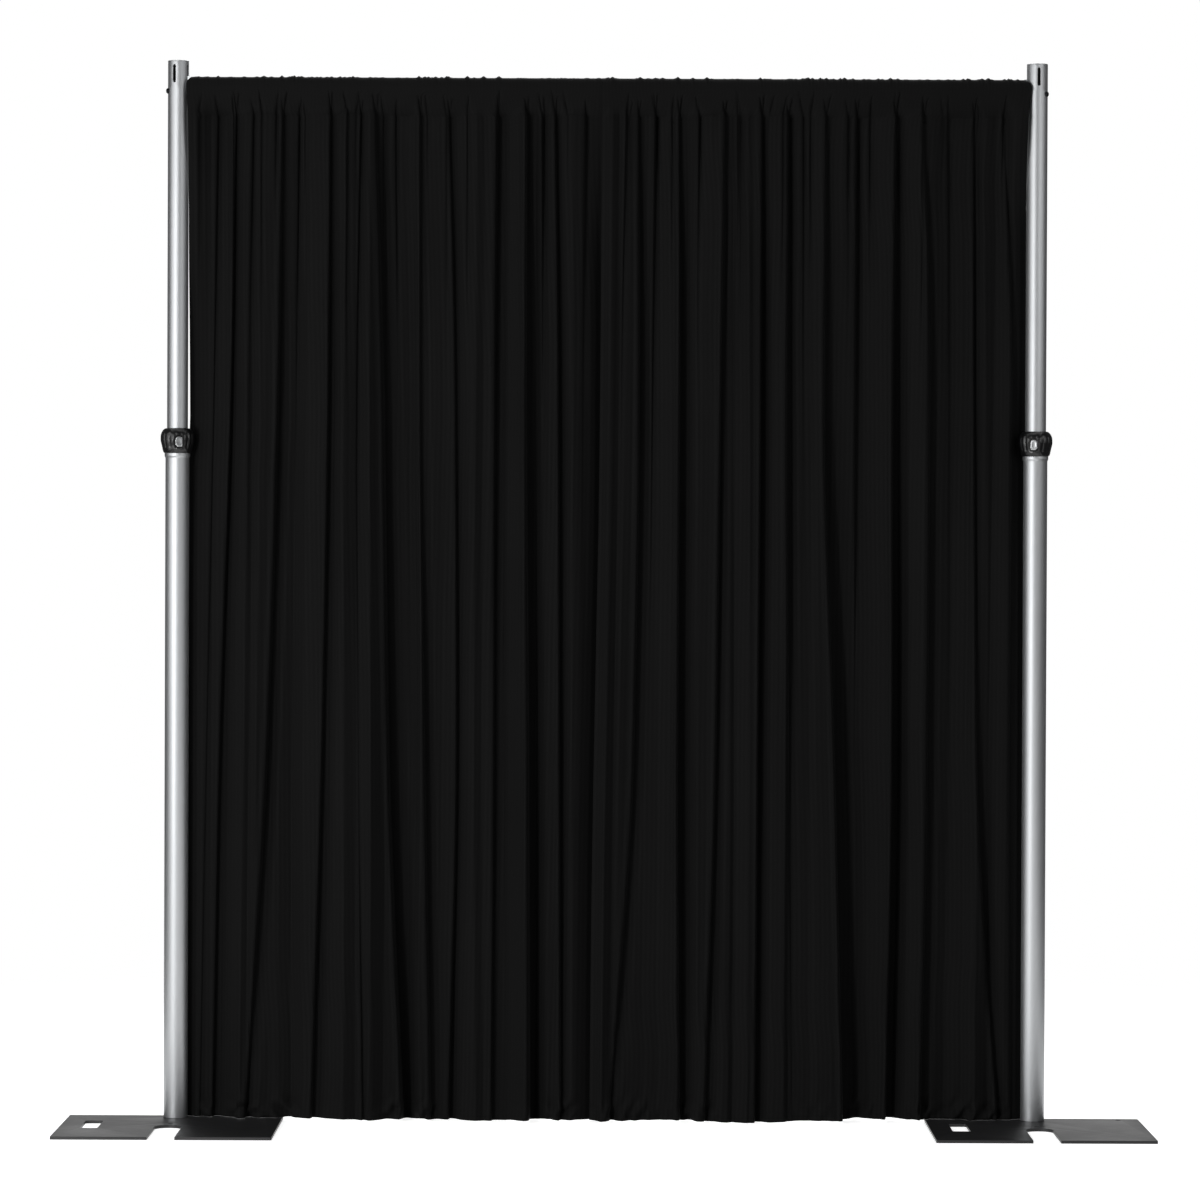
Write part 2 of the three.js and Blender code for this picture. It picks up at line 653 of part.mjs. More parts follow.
// A fold pattern: knots across the panel, as shares of its width, at the hem and at the pocket. A
// whole number of folds lies between two valleys, and the outer edge stands forward.
function foldKnots(hemShares, topShares, outerFirst) {
  const firstPhase = outerFirst ? 0.5 : 0;
  const lastPhase = hemShares.length + (outerFirst ? 1 : 0.5);
  return {
    phases: [firstPhase, ...hemShares.map((share, i) => i + 1), lastPhase],
    hem: [0, ...hemShares, 1],
    top: [0, ...topShares, 1],
  };
}

// Where a fold phase lies across the panel, between 0 and 1, at a share of the way up to the pocket.
function acrossAt(knots, phase, upShare) {
  const last = knots.phases.length - 2;
  const found = knots.phases.findIndex((value, i) => i > 0 && phase <= value) - 1;
  const i = found < 0 ? last : found;
  const between = (phase - knots.phases[i]) / (knots.phases[i + 1] - knots.phases[i]);
  const hem = THREE.MathUtils.lerp(knots.hem[i], knots.hem[i + 1], between);
  const top = THREE.MathUtils.lerp(knots.top[i], knots.top[i + 1], between);
  return THREE.MathUtils.lerp(hem, top, upShare);
}

// A panel: one sheet of cloth in standing folds, with the pocket that the bar runs through. Each
// column is a closed loop, from the hem up the front, round the bar and down the back.
function drapePanel(leftEdgeAt, rightEdgeAt, knots) {
  const hemZ = plateThickness + hemAbovePlate;
  const pocketBore = barRadius + fitGap + pocketSlack;
  const pocketRadius = pocketBore + pocketWall;
  const pocketZ = -pocketSlack;
  const seamZ = pocketZ + pocketRadius - pocketDepth;
  const columns = Math.round((knots.phases.at(-1) - knots.phases[0]) * columnsPerFold);
  const hemFromBar = hemZ - barZ;
  const rows = [
    ...lowerRowShares.map((share) => THREE.MathUtils.lerp(hemFromBar, collarMiddle - barZ, share)),
    ...upperRowShares.map((share) => THREE.MathUtils.lerp(collarMiddle - barZ, seamZ, share)),
  ];
  const phaseStep = (knots.phases.at(-1) - knots.phases[0]) / columns;

  function middle(phase, height) {
    const upShare = (height - hemFromBar) / (seamZ - hemFromBar);
    const [left, right] = [leftEdgeAt(height + barZ), rightEdgeAt(height + barZ)];
    const x = THREE.MathUtils.lerp(left, right, acrossAt(knots, phase, Math.min(upShare, 1)));
    const depth = THREE.MathUtils.lerp(foldDepth, gatherDepth, Math.min(upShare, 1));
    return new THREE.Vector2(x, depth * Math.cos(2 * Math.PI * phase));
  }

  function column(phase) {
    const sheet = rows.map((height) => {
      const here = middle(phase, height);
      const [from, to] = [
        Math.max(phase - phaseStep / 2, knots.phases[0]), Math.min(phase + phaseStep / 2, knots.phases.at(-1)),
      ];
      const along = middle(to, height).sub(middle(from, height)).normalize().multiplyScalar(clothThickness / 2);
      const isEdge = phase === knots.phases[0] || phase === knots.phases.at(-1);
      const [aside, forward] = isEdge ? [0, clothThickness / 2] : [along.y, along.x];
      return {
        front: new THREE.Vector3(here.x + aside, here.y - forward, height),
        back: new THREE.Vector3(here.x - aside, here.y + forward, height),
      };
    });
    const x = middle(phase, seamZ).x;
    const radius = pocketRadius + pocketRipple * (1 - Math.cos(2 * Math.PI * phase)) / 2;
    const round = pocketRingAngles.map((degrees) => new THREE.Vector2(
      radius * Math.cos(radians(degrees)), pocketZ + radius * Math.sin(radians(degrees))));
    const [frontRing, backRing] = [-1, 1].map((way) => round.map((point) => (
      new THREE.Vector3(x, way * point.x, point.y))));
    return [
      ...sheet.map((row) => row.front), ...frontRing,
      ...backRing.slice(0, -1).reverse(), ...sheet.map((row) => row.back).reverse(),
    ];
  }

  const loops = [];
  for (let i = 0; i <= columns; i += 1) {
    loops.push(column(i === columns ? knots.phases.at(-1) : knots.phases[0] + i * phaseStep));
  }
  const size = loops[0].length;
  const order = [];
  for (let i = 0; i < columns; i += 1) {
    for (let j = 0; j < size; j += 1) {
      const up = (j + 1) % size;
      const [a, b, c, d] = [i * size + j, (i + 1) * size + j, (i + 1) * size + up, i * size + up];
      order.push(a, b, c, a, c, d);
    }
  }
  [0, columns].forEach((i) => {
    for (let j = 0; j < (size - 1) / 2; j += 1) {
      const [a, b, c, d] = [j, j + 1, size - 2 - j, size - 1 - j].map((corner) => i * size + corner);
      const faces = b === c ? [[a, b, d]] : [[a, b, c], [a, c, d]];
      faces.forEach((face) => order.push(...(i === 0 ? face : face.reverse())));
    }
  });
  const geometry = new THREE.BufferGeometry();
  const positions = loops.flat().flatMap((point) => point.toArray());
  geometry.setAttribute('position', new THREE.Float32BufferAttribute(positions, 3));
  geometry.setIndex(order);
  const bore = rod(pocketBore, postSpacing, 24).rotateZ(Math.PI / 2).translate(0, 0, pocketZ);
  return cut(faceOutwards(geometry), bore);
}

function addPiece(group, name, geometry, material) {
  const mesh = new THREE.Mesh(geometry, material());
  mesh.name = name;
  group.add(mesh);
}

// One upright on its base plate. The group stands on the post's axis, and outwards is 1 or -1.
function upright(side, outwards, tubeTurn) {
  const group = new THREE.Group();
  const inwardLever = (geometry) => turned(geometry, -outwards * leverTurn);
  group.position.set(outwards * postSpacing / 2, postY, 0);
  addPiece(group, `${side}_base_plate`, basePlate(), powderCoatedSteel);
  addPiece(group, `${side}_base_pin`, basePin(), zincPlatedSteel);
  addPiece(group, `${side}_base_pin_screw`, basePinScrew(), blackenedSteel);
  addPiece(group, `${side}_lower_tube`, lowerTube(), anodisedAluminium);
  addPiece(group, `${side}_guide_sleeve`, guideSleeve(), naturalNylon);
  addPiece(group, `${side}_height_collar`, inwardLever(collar()), blackNylon);
  addPiece(group, `${side}_cam_lever`, inwardLever(camLever()), zincPlatedSteel);
  addPiece(group, `${side}_lever_pin`, inwardLever(leverPin()), blackenedSteel);
  addPiece(group, `${side}_lever_spring`, inwardLever(leverSpring()), blackenedSteel);
  addPiece(group, `${side}_upper_tube`, upperTube(outwards, tubeTurn), anodisedAluminium);
  addPiece(group, `${side}_guide_bush`, guideBush(), naturalNylon);
  addPiece(group, `${side}_stop_button`, stopButton(outwards, tubeTurn), blackenedSteel);
  return group;
}

// The crossbar and its hooks, about the bar's axis.
function crossbar() {
  const group = new THREE.Group();
  const larger = barRadius - barWall - fitGap;
  const smaller = barInnerRadius - barWall - fitGap;
  const shift = (bladeOffsets.left - bladeOffsets.right) / 2;
  const mouth = postSpacing / 2 - upperTubeRadius - barMouthToPost;
  const rivetX = barEnd - rivetFromEnd;
  group.position.set(0, barY, barZ);
  addPiece(group, 'crossbar_outer_tube', barTube(barRadius, -barEnd, mouth, [-rivetX]), anodisedAluminium);
  addPiece(group, 'crossbar_inner_tube',
    barTube(barInnerRadius, barInnerEnd, barEnd, [rivetX]), anodisedAluminium);
  addPiece(group, 'crossbar_guide_plug', guidePlug(), blackNylon);
  const leftHook = barHook(larger, leftTubeTurn, shift).rotateZ(Math.PI).translate(-barEnd, 0, 0);
  const rightHook = barHook(smaller, rightTubeTurn, shift).translate(barEnd, 0, 0);
  addPiece(group, 'left_bar_hook', leftHook, zincPlatedSteel);
  addPiece(group, 'right_bar_hook', rightHook, zincPlatedSteel);
  addPiece(group, 'left_hook_rivet',
    barRivet(barRadius).rotateZ(Math.PI).translate(-barEnd, 0, 0), blackenedSteel);
  addPiece(group, 'right_hook_rivet', barRivet(barInnerRadius).translate(barEnd, 0, 0), blackenedSteel);
  return group;
}

// The two cloth panels, about the bar's axis.
function drapes() {
  const group = new THREE.Group();
  group.position.set(0, barY, barZ);
  addPiece(group, 'drape_panel_left', drapePanel(
    (height) => -outerEdge(height), (height) => meetingLine(height) - panelMeetingGap / 2,
    foldKnots(leftValleyHemShares, leftValleyTopShares, true)), blackCloth);
  addPiece(group, 'drape_panel_right', drapePanel(
    (height) => meetingLine(height) + panelMeetingGap / 2, outerEdge,
    foldKnots(rightValleyHemShares, rightValleyTopShares, false)), blackCloth);
  return group;
}

const backdrop = new THREE.Group();
backdrop.add(upright('left', -1, leftTubeTurn), upright('right', 1, rightTubeTurn), crossbar(), drapes());

export default backdrop;
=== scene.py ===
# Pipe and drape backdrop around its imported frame: two black cloth panels on a telescoping crossbar,
# between telescoping aluminium uprights on flat steel base plates. +Z is up and the front faces -Y.
# Shapes are worked out in mm, and turned to metres where their mesh is made.
import json
import math
import bmesh
import bpy
import numpy as np
from mathutils import Matrix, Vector
from mathutils.geometry import tessellate_polygon


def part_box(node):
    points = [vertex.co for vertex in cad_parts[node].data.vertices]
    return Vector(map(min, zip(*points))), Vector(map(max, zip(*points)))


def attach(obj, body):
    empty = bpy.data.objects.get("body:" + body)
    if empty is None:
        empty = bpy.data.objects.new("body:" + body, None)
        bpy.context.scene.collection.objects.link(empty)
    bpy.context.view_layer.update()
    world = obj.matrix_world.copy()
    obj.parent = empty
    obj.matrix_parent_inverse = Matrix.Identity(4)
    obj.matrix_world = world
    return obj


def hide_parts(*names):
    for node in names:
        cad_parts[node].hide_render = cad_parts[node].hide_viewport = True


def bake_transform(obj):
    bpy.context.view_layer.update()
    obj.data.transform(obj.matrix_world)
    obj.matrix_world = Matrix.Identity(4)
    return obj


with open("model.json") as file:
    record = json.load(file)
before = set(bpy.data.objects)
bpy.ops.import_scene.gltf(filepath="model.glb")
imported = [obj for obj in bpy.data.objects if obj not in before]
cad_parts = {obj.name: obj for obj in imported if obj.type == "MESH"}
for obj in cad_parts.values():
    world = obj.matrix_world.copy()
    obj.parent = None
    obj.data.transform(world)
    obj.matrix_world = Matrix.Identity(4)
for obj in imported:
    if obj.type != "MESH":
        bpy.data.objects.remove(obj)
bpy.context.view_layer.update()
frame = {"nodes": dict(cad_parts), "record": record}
mm = 0.001
quarter, whole = math.pi / 2, 2 * math.pi
sides = {"left": -1, "right": 1}


def boxOf(node):
    # The lowest and the highest corner of a CAD node, in mm
    return np.array(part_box(node)) / mm


def smoothStep(value, low, high):
    # 0 below low, 1 above high, and 3t^2 - 2t^3 between
    t = np.clip((np.asarray(value, float) - low) / (high - low), 0, 1)
    return t * t * (3 - 2 * t)


def smoothThrough(knots, values, at):
    # Cubic Hermite curve through the knots. Each slope is the harmonic mean of the chords beside the
    # knot, or 0 where they turn, so that the curve never overshoots
    knots, values = np.asarray(knots, float), np.asarray(values, float)
    chords = np.diff(values) / np.diff(knots)
    before, after = chords[:-1], chords[1:]
    same = before * after > 0
    inner = np.where(same, 2 * before * after / np.where(same, before + after, 1), 0)
    slopes = np.concatenate([chords[:1], inner, chords[-1:]])
    at = np.clip(at, knots[0], knots[-1])
    k = np.clip(np.searchsorted(knots, at, side="right") - 1, 0, len(knots) - 2)
    step = knots[k + 1] - knots[k]
    t = (at - knots[k]) / step
    return ((1 + 2 * t) * (1 - t) ** 2 * values[k] + t * (1 - t) ** 2 * step * slopes[k]
            + t * t * (3 - 2 * t) * values[k + 1] + t * t * (t - 1) * step * slopes[k + 1])


def stacked(*columns):
    # Columns side by side along a new last axis, each spread out to the shape that all share
    return np.stack(np.broadcast_arrays(*columns), axis=-1)


def aroundZ(radius, angle, height):
    # Points round the upright axis: x = r sin a, y = -r cos a
    return stacked(radius * np.sin(angle), -radius * np.cos(angle), height)


def gridFaces(rows, columns, wrapRows=False, wrapColumns=True):
    # Quads between neighbouring rows and columns of a grid of points
    i = np.arange(rows if wrapRows else rows - 1)[:, None]
    j = np.arange(columns if wrapColumns else columns - 1)[None, :]
    here, beyond, nextColumn = i * columns, (i + 1) % rows * columns, (j + 1) % columns
    return stacked(here + j, here + nextColumn, beyond + nextColumn, beyond + j).reshape(-1, 4)


def latheGrid(profile, steps=64, closed=True, start=0.0):
    # A profile of [radius, height] turned about +Z
    radius, height = np.asarray(profile, float).T[..., None]
    angle = start + np.linspace(0, whole, steps, endpoint=False)
    return aroundZ(radius, angle, height), gridFaces(len(radius), steps, wrapRows=closed)


def filleted(corners, radii, steps):
    # Each corner becomes an arc that touches both sides, radius / tan(half the corner's angle) from it
    corners = np.asarray(corners, float)
    arcs = []
    for i, (corner, radius) in enumerate(zip(corners, np.broadcast_to(radii, len(corners)))):
        back, on = corners[i - 1] - corner, corners[(i + 1) % len(corners)] - corner
        room = 0.499 * min(np.linalg.norm(back), np.linalg.norm(on))
        back, on = back / np.linalg.norm(back), on / np.linalg.norm(on)
        half = math.acos(np.clip(back @ on, -1, 1)) / 2
        reach = min(radius / math.tan(half), room)
        r = reach * math.tan(half)
        middle = corner + (back + on) / np.linalg.norm(back + on) * r / math.sin(half)
        first, last = corner + back * reach - middle, corner + on * reach - middle
        start = math.atan2(first[1], first[0])
        turn = (math.atan2(last[1], last[0]) - start + math.pi) % whole - math.pi
        angle = start + turn * np.linspace(0, 1, steps + 1)
        arcs.append(middle + r * stacked(np.cos(angle), np.sin(angle)))
    return np.concatenate(arcs)


def boxRing(across, up):
    # Once round a rectangle, anticlockwise from its lower left, through its steps across and up
    return np.concatenate([stacked(across[:-1], up[0]), stacked(across[-1], up[:-1]),
                           stacked(across[:0:-1], up[-1]), stacked(across[0], up[:0:-1])])


def offsetLoop(loop, inset):
    # Each point of a closed 2D loop moved along the mean of its two sides' left normals
    along = np.roll(loop, -1, axis=0) - loop
    normals = stacked(-along[:, 1], along[:, 0])
    normals /= np.linalg.norm(normals, axis=1, keepdims=True)
    mean = normals + np.roll(normals, 1, axis=0)
    mean /= (mean * mean).sum(axis=1, keepdims=True) / 2
    return loop + inset * mean


def sheetMetal(loops, profile):
    # A flat plate: each outline is carried up through a profile of (inset, height), and the two flat
    # faces are filled. The first loop runs anticlockwise round the plate, the others clockwise round holes
    parts = []
    for loop in loops:
        rings = np.stack([stacked(*offsetLoop(loop, inset).T, height) for inset, height in profile])
        parts.append((rings, gridFaces(len(profile), len(loop))))
    for inset, height in (profile[0], profile[-1]):
        flat = [stacked(*offsetLoop(loop, inset).T, 0) for loop in loops]
        parts.append((np.concatenate(flat) + [0, 0, height], tessellate_polygon(flat)))
    return parts


def addObject(name, data):
    thing = bpy.data.objects.new(name, data)
    bpy.context.scene.collection.objects.link(thing)
    return thing


def addMesh(name, points, faces, material):
    # A mesh object at the origin, from an array of points in metres and a list of faces
    mesh = bpy.data.meshes.new(name)
    mesh.from_pydata(points.reshape(-1, 3).tolist(), [], faces)
    mesh.materials.append(material)
    return addObject(name, mesh)


def makePiece(name, parts, slot, body, nodes, place, turn=0, crease=32, bore=0, skin=None):
    # One closed mesh from parts in mm, turned by some degrees about +Z and put in its place: shared points
    # are merged and normals face outwards. Faces nearer the axis than the bore get painted shade: a dark finish
    # standing in for the shade inside the tube
    points, faces, count = [], [], 0
    for part, quads in parts:
        points.append(np.reshape(part, (-1, 3)))
        faces += (np.asarray(quads) + count).tolist()
        count += len(points[-1])
    c, s = math.cos(math.radians(turn)), math.sin(math.radians(turn))
    points = np.concatenate(points) @ np.array([[c, s, 0], [-s, c, 0], [0, 0, 1]]) + place
    piece = addMesh(name, points * mm, faces, skin or skins[slot])
    mesh, shell = piece.data, bmesh.new()
    shell.from_mesh(mesh)
    bmesh.ops.remove_doubles(shell, verts=shell.verts, dist=2e-6)
    bmesh.ops.recalc_face_normals(shell, faces=shell.faces)
    shell.to_mesh(mesh)
    shell.free()
    mesh.shade_smooth()
    mesh.set_sharp_from_angle(angle=math.radians(crease))
    if bore:
        mesh.materials.append(boreShadeSkin)
        middles = np.empty(3 * len(mesh.polygons))
        mesh.polygons.foreach_get("center", middles)
        away = np.hypot(*(middles.reshape(-1, 3) / mm - place)[:, :2].T)
        mesh.polygons.foreach_set("material_index", (away < bore).astype(np.int32))
    if nodes:
        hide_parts(*nodes)
    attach(piece, body)


# Camera, light and stage
camera = {"lens": 133.95, "sensor": 36,  # mm
          "place": (-0.0125, -9.375, 1.220), "farEnd": 200,  # metres
          "pitch": -0.64, "roll": 0.23}  # degrees


def addCamera():
    data = bpy.data.cameras.new("camera")
    data.lens, data.sensor_width, data.clip_end = camera["lens"], camera["sensor"], camera["farEnd"]
    eye = addObject("camera", data)
    pitch, roll = math.radians(90 + camera["pitch"]), math.radians(camera["roll"])
    turn = Matrix.Rotation(pitch, 4, "X") @ Matrix.Rotation(roll, 4, "Z")
    eye.matrix_world = Matrix.Translation(camera["place"]) @ turn
    bpy.context.scene.camera = eye


def linearColour(hexCode):
    # sRGB hex to linear light: a straight line near black, then a power of 2.4
    channels = np.array([int(hexCode[i:i + 2], 16) for i in (1, 3, 5)]) / 255
    linear = np.where(channels <= 0.04045, channels / 12.92, ((channels + 0.055) / 1.055) ** 2.4)
    return (*linear.tolist(), 1.0)


def addNode(tree, kind, inputs=None, **settings):
    # One shader node with its settings, and a value or a link for each input that is named. A node
    # given as a value stands for its first output
    node = tree.nodes.new("ShaderNode" + kind)
    for name, value in settings.items():
        setattr(node, name, value)
    for socket, value in (inputs or {}).items():
        value = value.outputs[0] if isinstance(value, bpy.types.Node) else value
        if isinstance(value, bpy.types.NodeSocket):
            tree.links.new(value, node.inputs[socket])
        else:
            node.inputs[socket].default_value = value
    return node


def emptyTree(owner):
    owner.use_nodes = True
    owner.node_tree.nodes.clear()
    return owner.node_tree


def seenDirectly(tree):
    # 1 for camera and glass rays, 0 for rays that carry light, and apart from it 1 for mirror rays
    path = addNode(tree, "LightPath")
    either = addNode(tree, "Math", {0: path.outputs["Is Camera Ray"], 1: path.outputs["Is Transmission Ray"]},
                     operation="MAXIMUM")
    return either, path.outputs["Is Glossy Ray"]


world = {"room": 0.08,  # radiance of the dim room
         "halfWidth": [0.13, 0.22], "behind": [0.3, 0.6],  # sines between which the white backdrop's edge fades
         "mirrored": 0.76}  # how white the backdrop is in gloss and metal


def addWorld():
    # A dim room round the lamps, with a white backdrop behind, which metal sees as well as the camera
    bpy.context.scene.world = bpy.data.worlds.new("studio")
    tree = emptyTree(bpy.context.scene.world)
    direct, glossy = seenDirectly(tree)
    axes = addNode(tree, "SeparateXYZ", {0: addNode(tree, "TexCoord").outputs["Generated"]})
    aside = addNode(tree, "Math", {0: axes.outputs["X"]}, operation="ABSOLUTE")
    (whiteTo, greyFrom), (greyTo, whiteFrom) = world["halfWidth"], world["behind"]
    narrow = addNode(tree, "MapRange", {0: aside, 1: whiteTo, 2: greyFrom, 3: world["mirrored"], 4: 0.0},
                     interpolation_type="SMOOTHSTEP")
    behind = addNode(tree, "MapRange", {0: axes.outputs["Y"], 1: greyTo, 2: whiteFrom},
                     interpolation_type="SMOOTHSTEP")
    window = addNode(tree, "Math", {0: narrow, 1: behind}, operation="MULTIPLY")
    mirrored = addNode(tree, "Math", {0: glossy, 1: window}, operation="MULTIPLY")
    white = addNode(tree, "Math", {0: direct, 1: mirrored}, operation="MAXIMUM")
    room = addNode(tree, "Background", {0: (1, 1, 1, 1), 1: world["room"]})
    backdrop = addNode(tree, "Background", {0: (1, 1, 1, 1), 1: 1.0})
    addNode(tree, "OutputWorld", {0: addNode(tree, "MixShader", {0: white, 1: room, 2: backdrop})})


lamps = [  # name, place, aimed at, width, height (all in metres), watts
    ("leftPanel", (-2.8, -2.65, 1.66), (0, -0.99, 1.66), 4.2, 3.0, 68),
    ("leftLow", (-2.6, -4.2, 0.75), (-0.3, 0.15, 0.75), 0.5, 1.4, 66),
    ("leftHigh", (-1.8, -4.4, 2.4), (0, 0.15, 2.4), 0.7, 1.9, 24),
    ("rightPanel", (2.9, -2.3, 2.35), (0, -0.28, 2.35), 3.4, 1.4, 20),
    ("rightHigh", (3.2, -4.4, 2.5), (0.5, 0.1, 2.3), 0.7, 1.6, 16),
    ("overhead", (0.0, 0.6, 4.7), (0, 0.2, 0), 4.6, 2.6, 52),
    ("rearHigh", (0.0, 2.6, 4.5), (0, 0.1, 1.1), 2.8, 1.6, 105),
]


def addLamps():
    # Each lamp's own back, across and up directions are the columns of its turn
    for name, place, aim, width, height, watts in lamps:
        data = bpy.data.lights.new(name, "AREA")
        data.shape, data.size, data.size_y, data.energy = "RECTANGLE", width, height, watts
        back = np.array(place) - np.array(aim)
        back /= np.linalg.norm(back)
        across = np.cross((0, 0, 1), back)
        across /= np.linalg.norm(across)
        turn = stacked(across, np.cross(back, across), back)
        lamp = addObject(name, data)
        lamp.matrix_world = Matrix.Translation(place) @ Matrix(turn.tolist()).to_4x4()
        lamp.visible_camera = False


floor = {"reach": 24.0, "sides": 64, "paper": "#f2f2f2",
         "plain": [1.5, 3.6],  # metres from the middle between which it turns plain white
         "halfWidth": [1.35, 2.1], "beyond": 0.08,  # where the paper ends for light and metal, and what is left
         "bounced": 0.5, "lift": 0.74}  # how much of its light falls back on the object, and its own glow as seen


def addFloor():
    # Pale paper that keeps the shadow near the object and turns plain white further out
    material = bpy.data.materials.new("pale paper floor")
    tree = emptyTree(material)
    direct, glossy = seenDirectly(tree)
    place = addNode(tree, "TexCoord").outputs["Object"]
    distance = addNode(tree, "VectorMath", {0: place}, operation="LENGTH").outputs["Value"]
    far = addNode(tree, "MapRange", {0: distance, 1: floor["plain"][0], 2: floor["plain"][1]},
                  interpolation_type="SMOOTHSTEP")
    seen = addNode(tree, "Math", {0: direct, 1: glossy}, operation="MAXIMUM")
    share = addNode(tree, "Math", {0: seen, 1: far}, operation="MULTIPLY")
    across = addNode(tree, "SeparateXYZ", {0: place}).outputs["X"]
    aside = addNode(tree, "Math", {0: across}, operation="ABSOLUTE")
    paperTo, offFrom = floor["halfWidth"]
    onPaper = addNode(tree, "MapRange", {0: aside, 1: paperTo, 2: offFrom, 3: 1.0, 4: floor["beyond"]},
                      interpolation_type="SMOOTHSTEP")
    shown = addNode(tree, "MapRange", {0: glossy, 3: floor["bounced"], 4: 1.0})
    paler = addNode(tree, "Math", {0: shown, 1: onPaper}, operation="MULTIPLY")
    bright = addNode(tree, "Math", {0: direct, 1: paler}, operation="MAXIMUM")
    shade = addNode(tree, "VectorMath", {0: linearColour(floor["paper"])[:3], "Scale": bright}, operation="SCALE")
    glow = addNode(tree, "Math", {0: bright, 1: floor["lift"]}, operation="MULTIPLY")
    seenGlow = addNode(tree, "Math", {0: seen, 1: glow}, operation="MULTIPLY")
    paper = addNode(tree, "BsdfDiffuse", {0: shade})
    lifted = addNode(tree, "Emission", {0: (1, 1, 1, 1), 1: seenGlow})
    near = addNode(tree, "AddShader", {0: paper, 1: lifted})
    plain = addNode(tree, "Emission", {0: (1, 1, 1, 1), 1: bright})
    addNode(tree, "OutputMaterial", {0: addNode(tree, "MixShader", {0: share, 1: near, 2: plain})})
    ring = floor["reach"] * aroundZ(1, np.linspace(0, whole, floor["sides"], endpoint=False), 0)
    addMesh("floor", ring, [list(range(floor["sides"]))], material)


addCamera()
addWorld()
addLamps()
addFloor()
bpy.context.scene.view_settings.view_transform = "Standard"
print("stage: camera, lamps, world and floor")


# Materials. A pattern is a noise's scale along each axis, its detail and its roughness; noise runs mostly
# from 0.3 to 0.7, and each range of roughness is laid over that
def startMaterial(name, patterns, coordinates="Object"):
    # A new material's tree, its coordinates in metres, and a noise for each pattern
    material = bpy.data.materials.new(name)
    tree = emptyTree(material)
    place = addNode(tree, "TexCoord").outputs[coordinates]
    noises = []
    for scale, detail, rough in patterns:
        stretched = addNode(tree, "Mapping", {"Vector": place, "Scale": scale})
        noises.append(addNode(tree, "TexNoise", {"Vector": stretched, "Scale": 1.0, "Detail": detail,
                                                 "Roughness": rough}))
    return material, tree, place, *noises


def finishMaterial(material, tree, blend, colours, height, bump, inputs):
    # Two colours, hex or mixed before, blended by one pattern, over a bump of some strength and depth in mm
    first, second = (linearColour(colour) if isinstance(colour, str) else colour for colour in colours)
    mixed = addNode(tree, "Mix", {0: blend, 6: first, 7: second}, data_type="RGBA").outputs[2]
    raised = addNode(tree, "Bump", {"Height": height, "Strength": bump[0], "Distance": bump[1] * mm})
    shader = addNode(tree, "BsdfPrincipled", {"Base Color": mixed, "Normal": raised, **inputs})
    addNode(tree, "OutputMaterial", {0: shader})
    return material


aluminium = {"lines": [1.0, 180], "colours": ["#b6b8ba", "#bec0c2"], "roughness": [0.46, 0.52], "scuffs": 0.05}


def anodisedAluminium(name, lengthwise):
    # Drawn tube, etched matt and clear anodised: a satin metal with faint draw lines along its length.
    # The real lines are about 0.1 mm apart; here they are 1 mm, so that they show
    apart, long = aluminium["lines"]
    stretch = [1 / ((long if axis == lengthwise else apart) * mm) for axis in "XYZ"]
    material, tree, _, lines, cloud, scuffs = startMaterial(
        name, [(stretch, 3.0, 0.5), ((9, 9, 5), 3.0, 0.5), ((260, 260, 60), 4.0, 0.7)])
    low, high = aluminium["roughness"]
    satin = addNode(tree, "MapRange", {0: lines, 1: 0.3, 2: 0.7, 3: low, 4: high})
    marks = addNode(tree, "MapRange", {0: scuffs, 1: 0.62, 2: 0.8, 3: 0.0, 4: aluminium["scuffs"]})
    roughness = addNode(tree, "Math", {0: satin, 1: marks}, operation="ADD")
    return finishMaterial(material, tree, cloud, aluminium["colours"], lines, (0.12, 0.05),
                          {"Metallic": 1.0, "Roughness": roughness})


powderCoat = {"peel": 1.4, "colours": ["#202021", "#282829"], "worn": "#383839", "wear": [0.6, 0.74],
              "roughness": [0.35, 0.43], "rubbed": 0.06}


def powderCoatedSteel():
    # Laser-cut plate under a satin powder coat: near-black, with the fine orange peel of the cured powder
    material, tree, _, peel, cloud, rubs = startMaterial("powder-coated steel", [
        ((1 / (powderCoat["peel"] * mm),) * 3, 2.0, 0.5), ((7, 7, 7), 4.0, 0.5), ((34, 90, 34), 6.0, 0.72)])
    (low, high), (little, much) = powderCoat["roughness"], powderCoat["wear"]
    rubbed = addNode(tree, "MapRange", {0: rubs, 1: little, 2: much, 3: 0.0, 4: 1.0})
    dark, light = map(linearColour, powderCoat["colours"])
    tone = addNode(tree, "Mix", {0: cloud, 6: dark, 7: light}, data_type="RGBA").outputs[2]
    satin = addNode(tree, "MapRange", {0: cloud, 1: 0.3, 2: 0.7, 3: low, 4: high})
    duller = addNode(tree, "MapRange", {0: rubs, 1: 0.3, 2: 0.7, 3: 0.0, 4: powderCoat["rubbed"]})
    roughness = addNode(tree, "Math", {0: satin, 1: duller}, operation="ADD")
    return finishMaterial(material, tree, rubbed, (tone, powderCoat["worn"]), peel, (0.3, 0.05),
                          {"Roughness": roughness, "IOR": 1.5, "Specular IOR Level": 0.42})


def mouldedNylon(name, colours, gloss, grain=0.8):
    # Injection-moulded nylon: even colour, a tight semi-gloss skin, very fine mould grain
    material, tree, _, skin, cloud = startMaterial(
        name, [((1 / (grain * mm),) * 3, 2.0, 0.5), ((60, 60, 60), 3.0, 0.5)])
    roughness = addNode(tree, "MapRange", {0: cloud, 1: 0.3, 2: 0.7, 3: gloss - 0.03, 4: gloss + 0.04})
    return finishMaterial(material, tree, cloud, colours, skin, (0.12, 0.02),
                          {"Roughness": roughness, "IOR": 1.53})


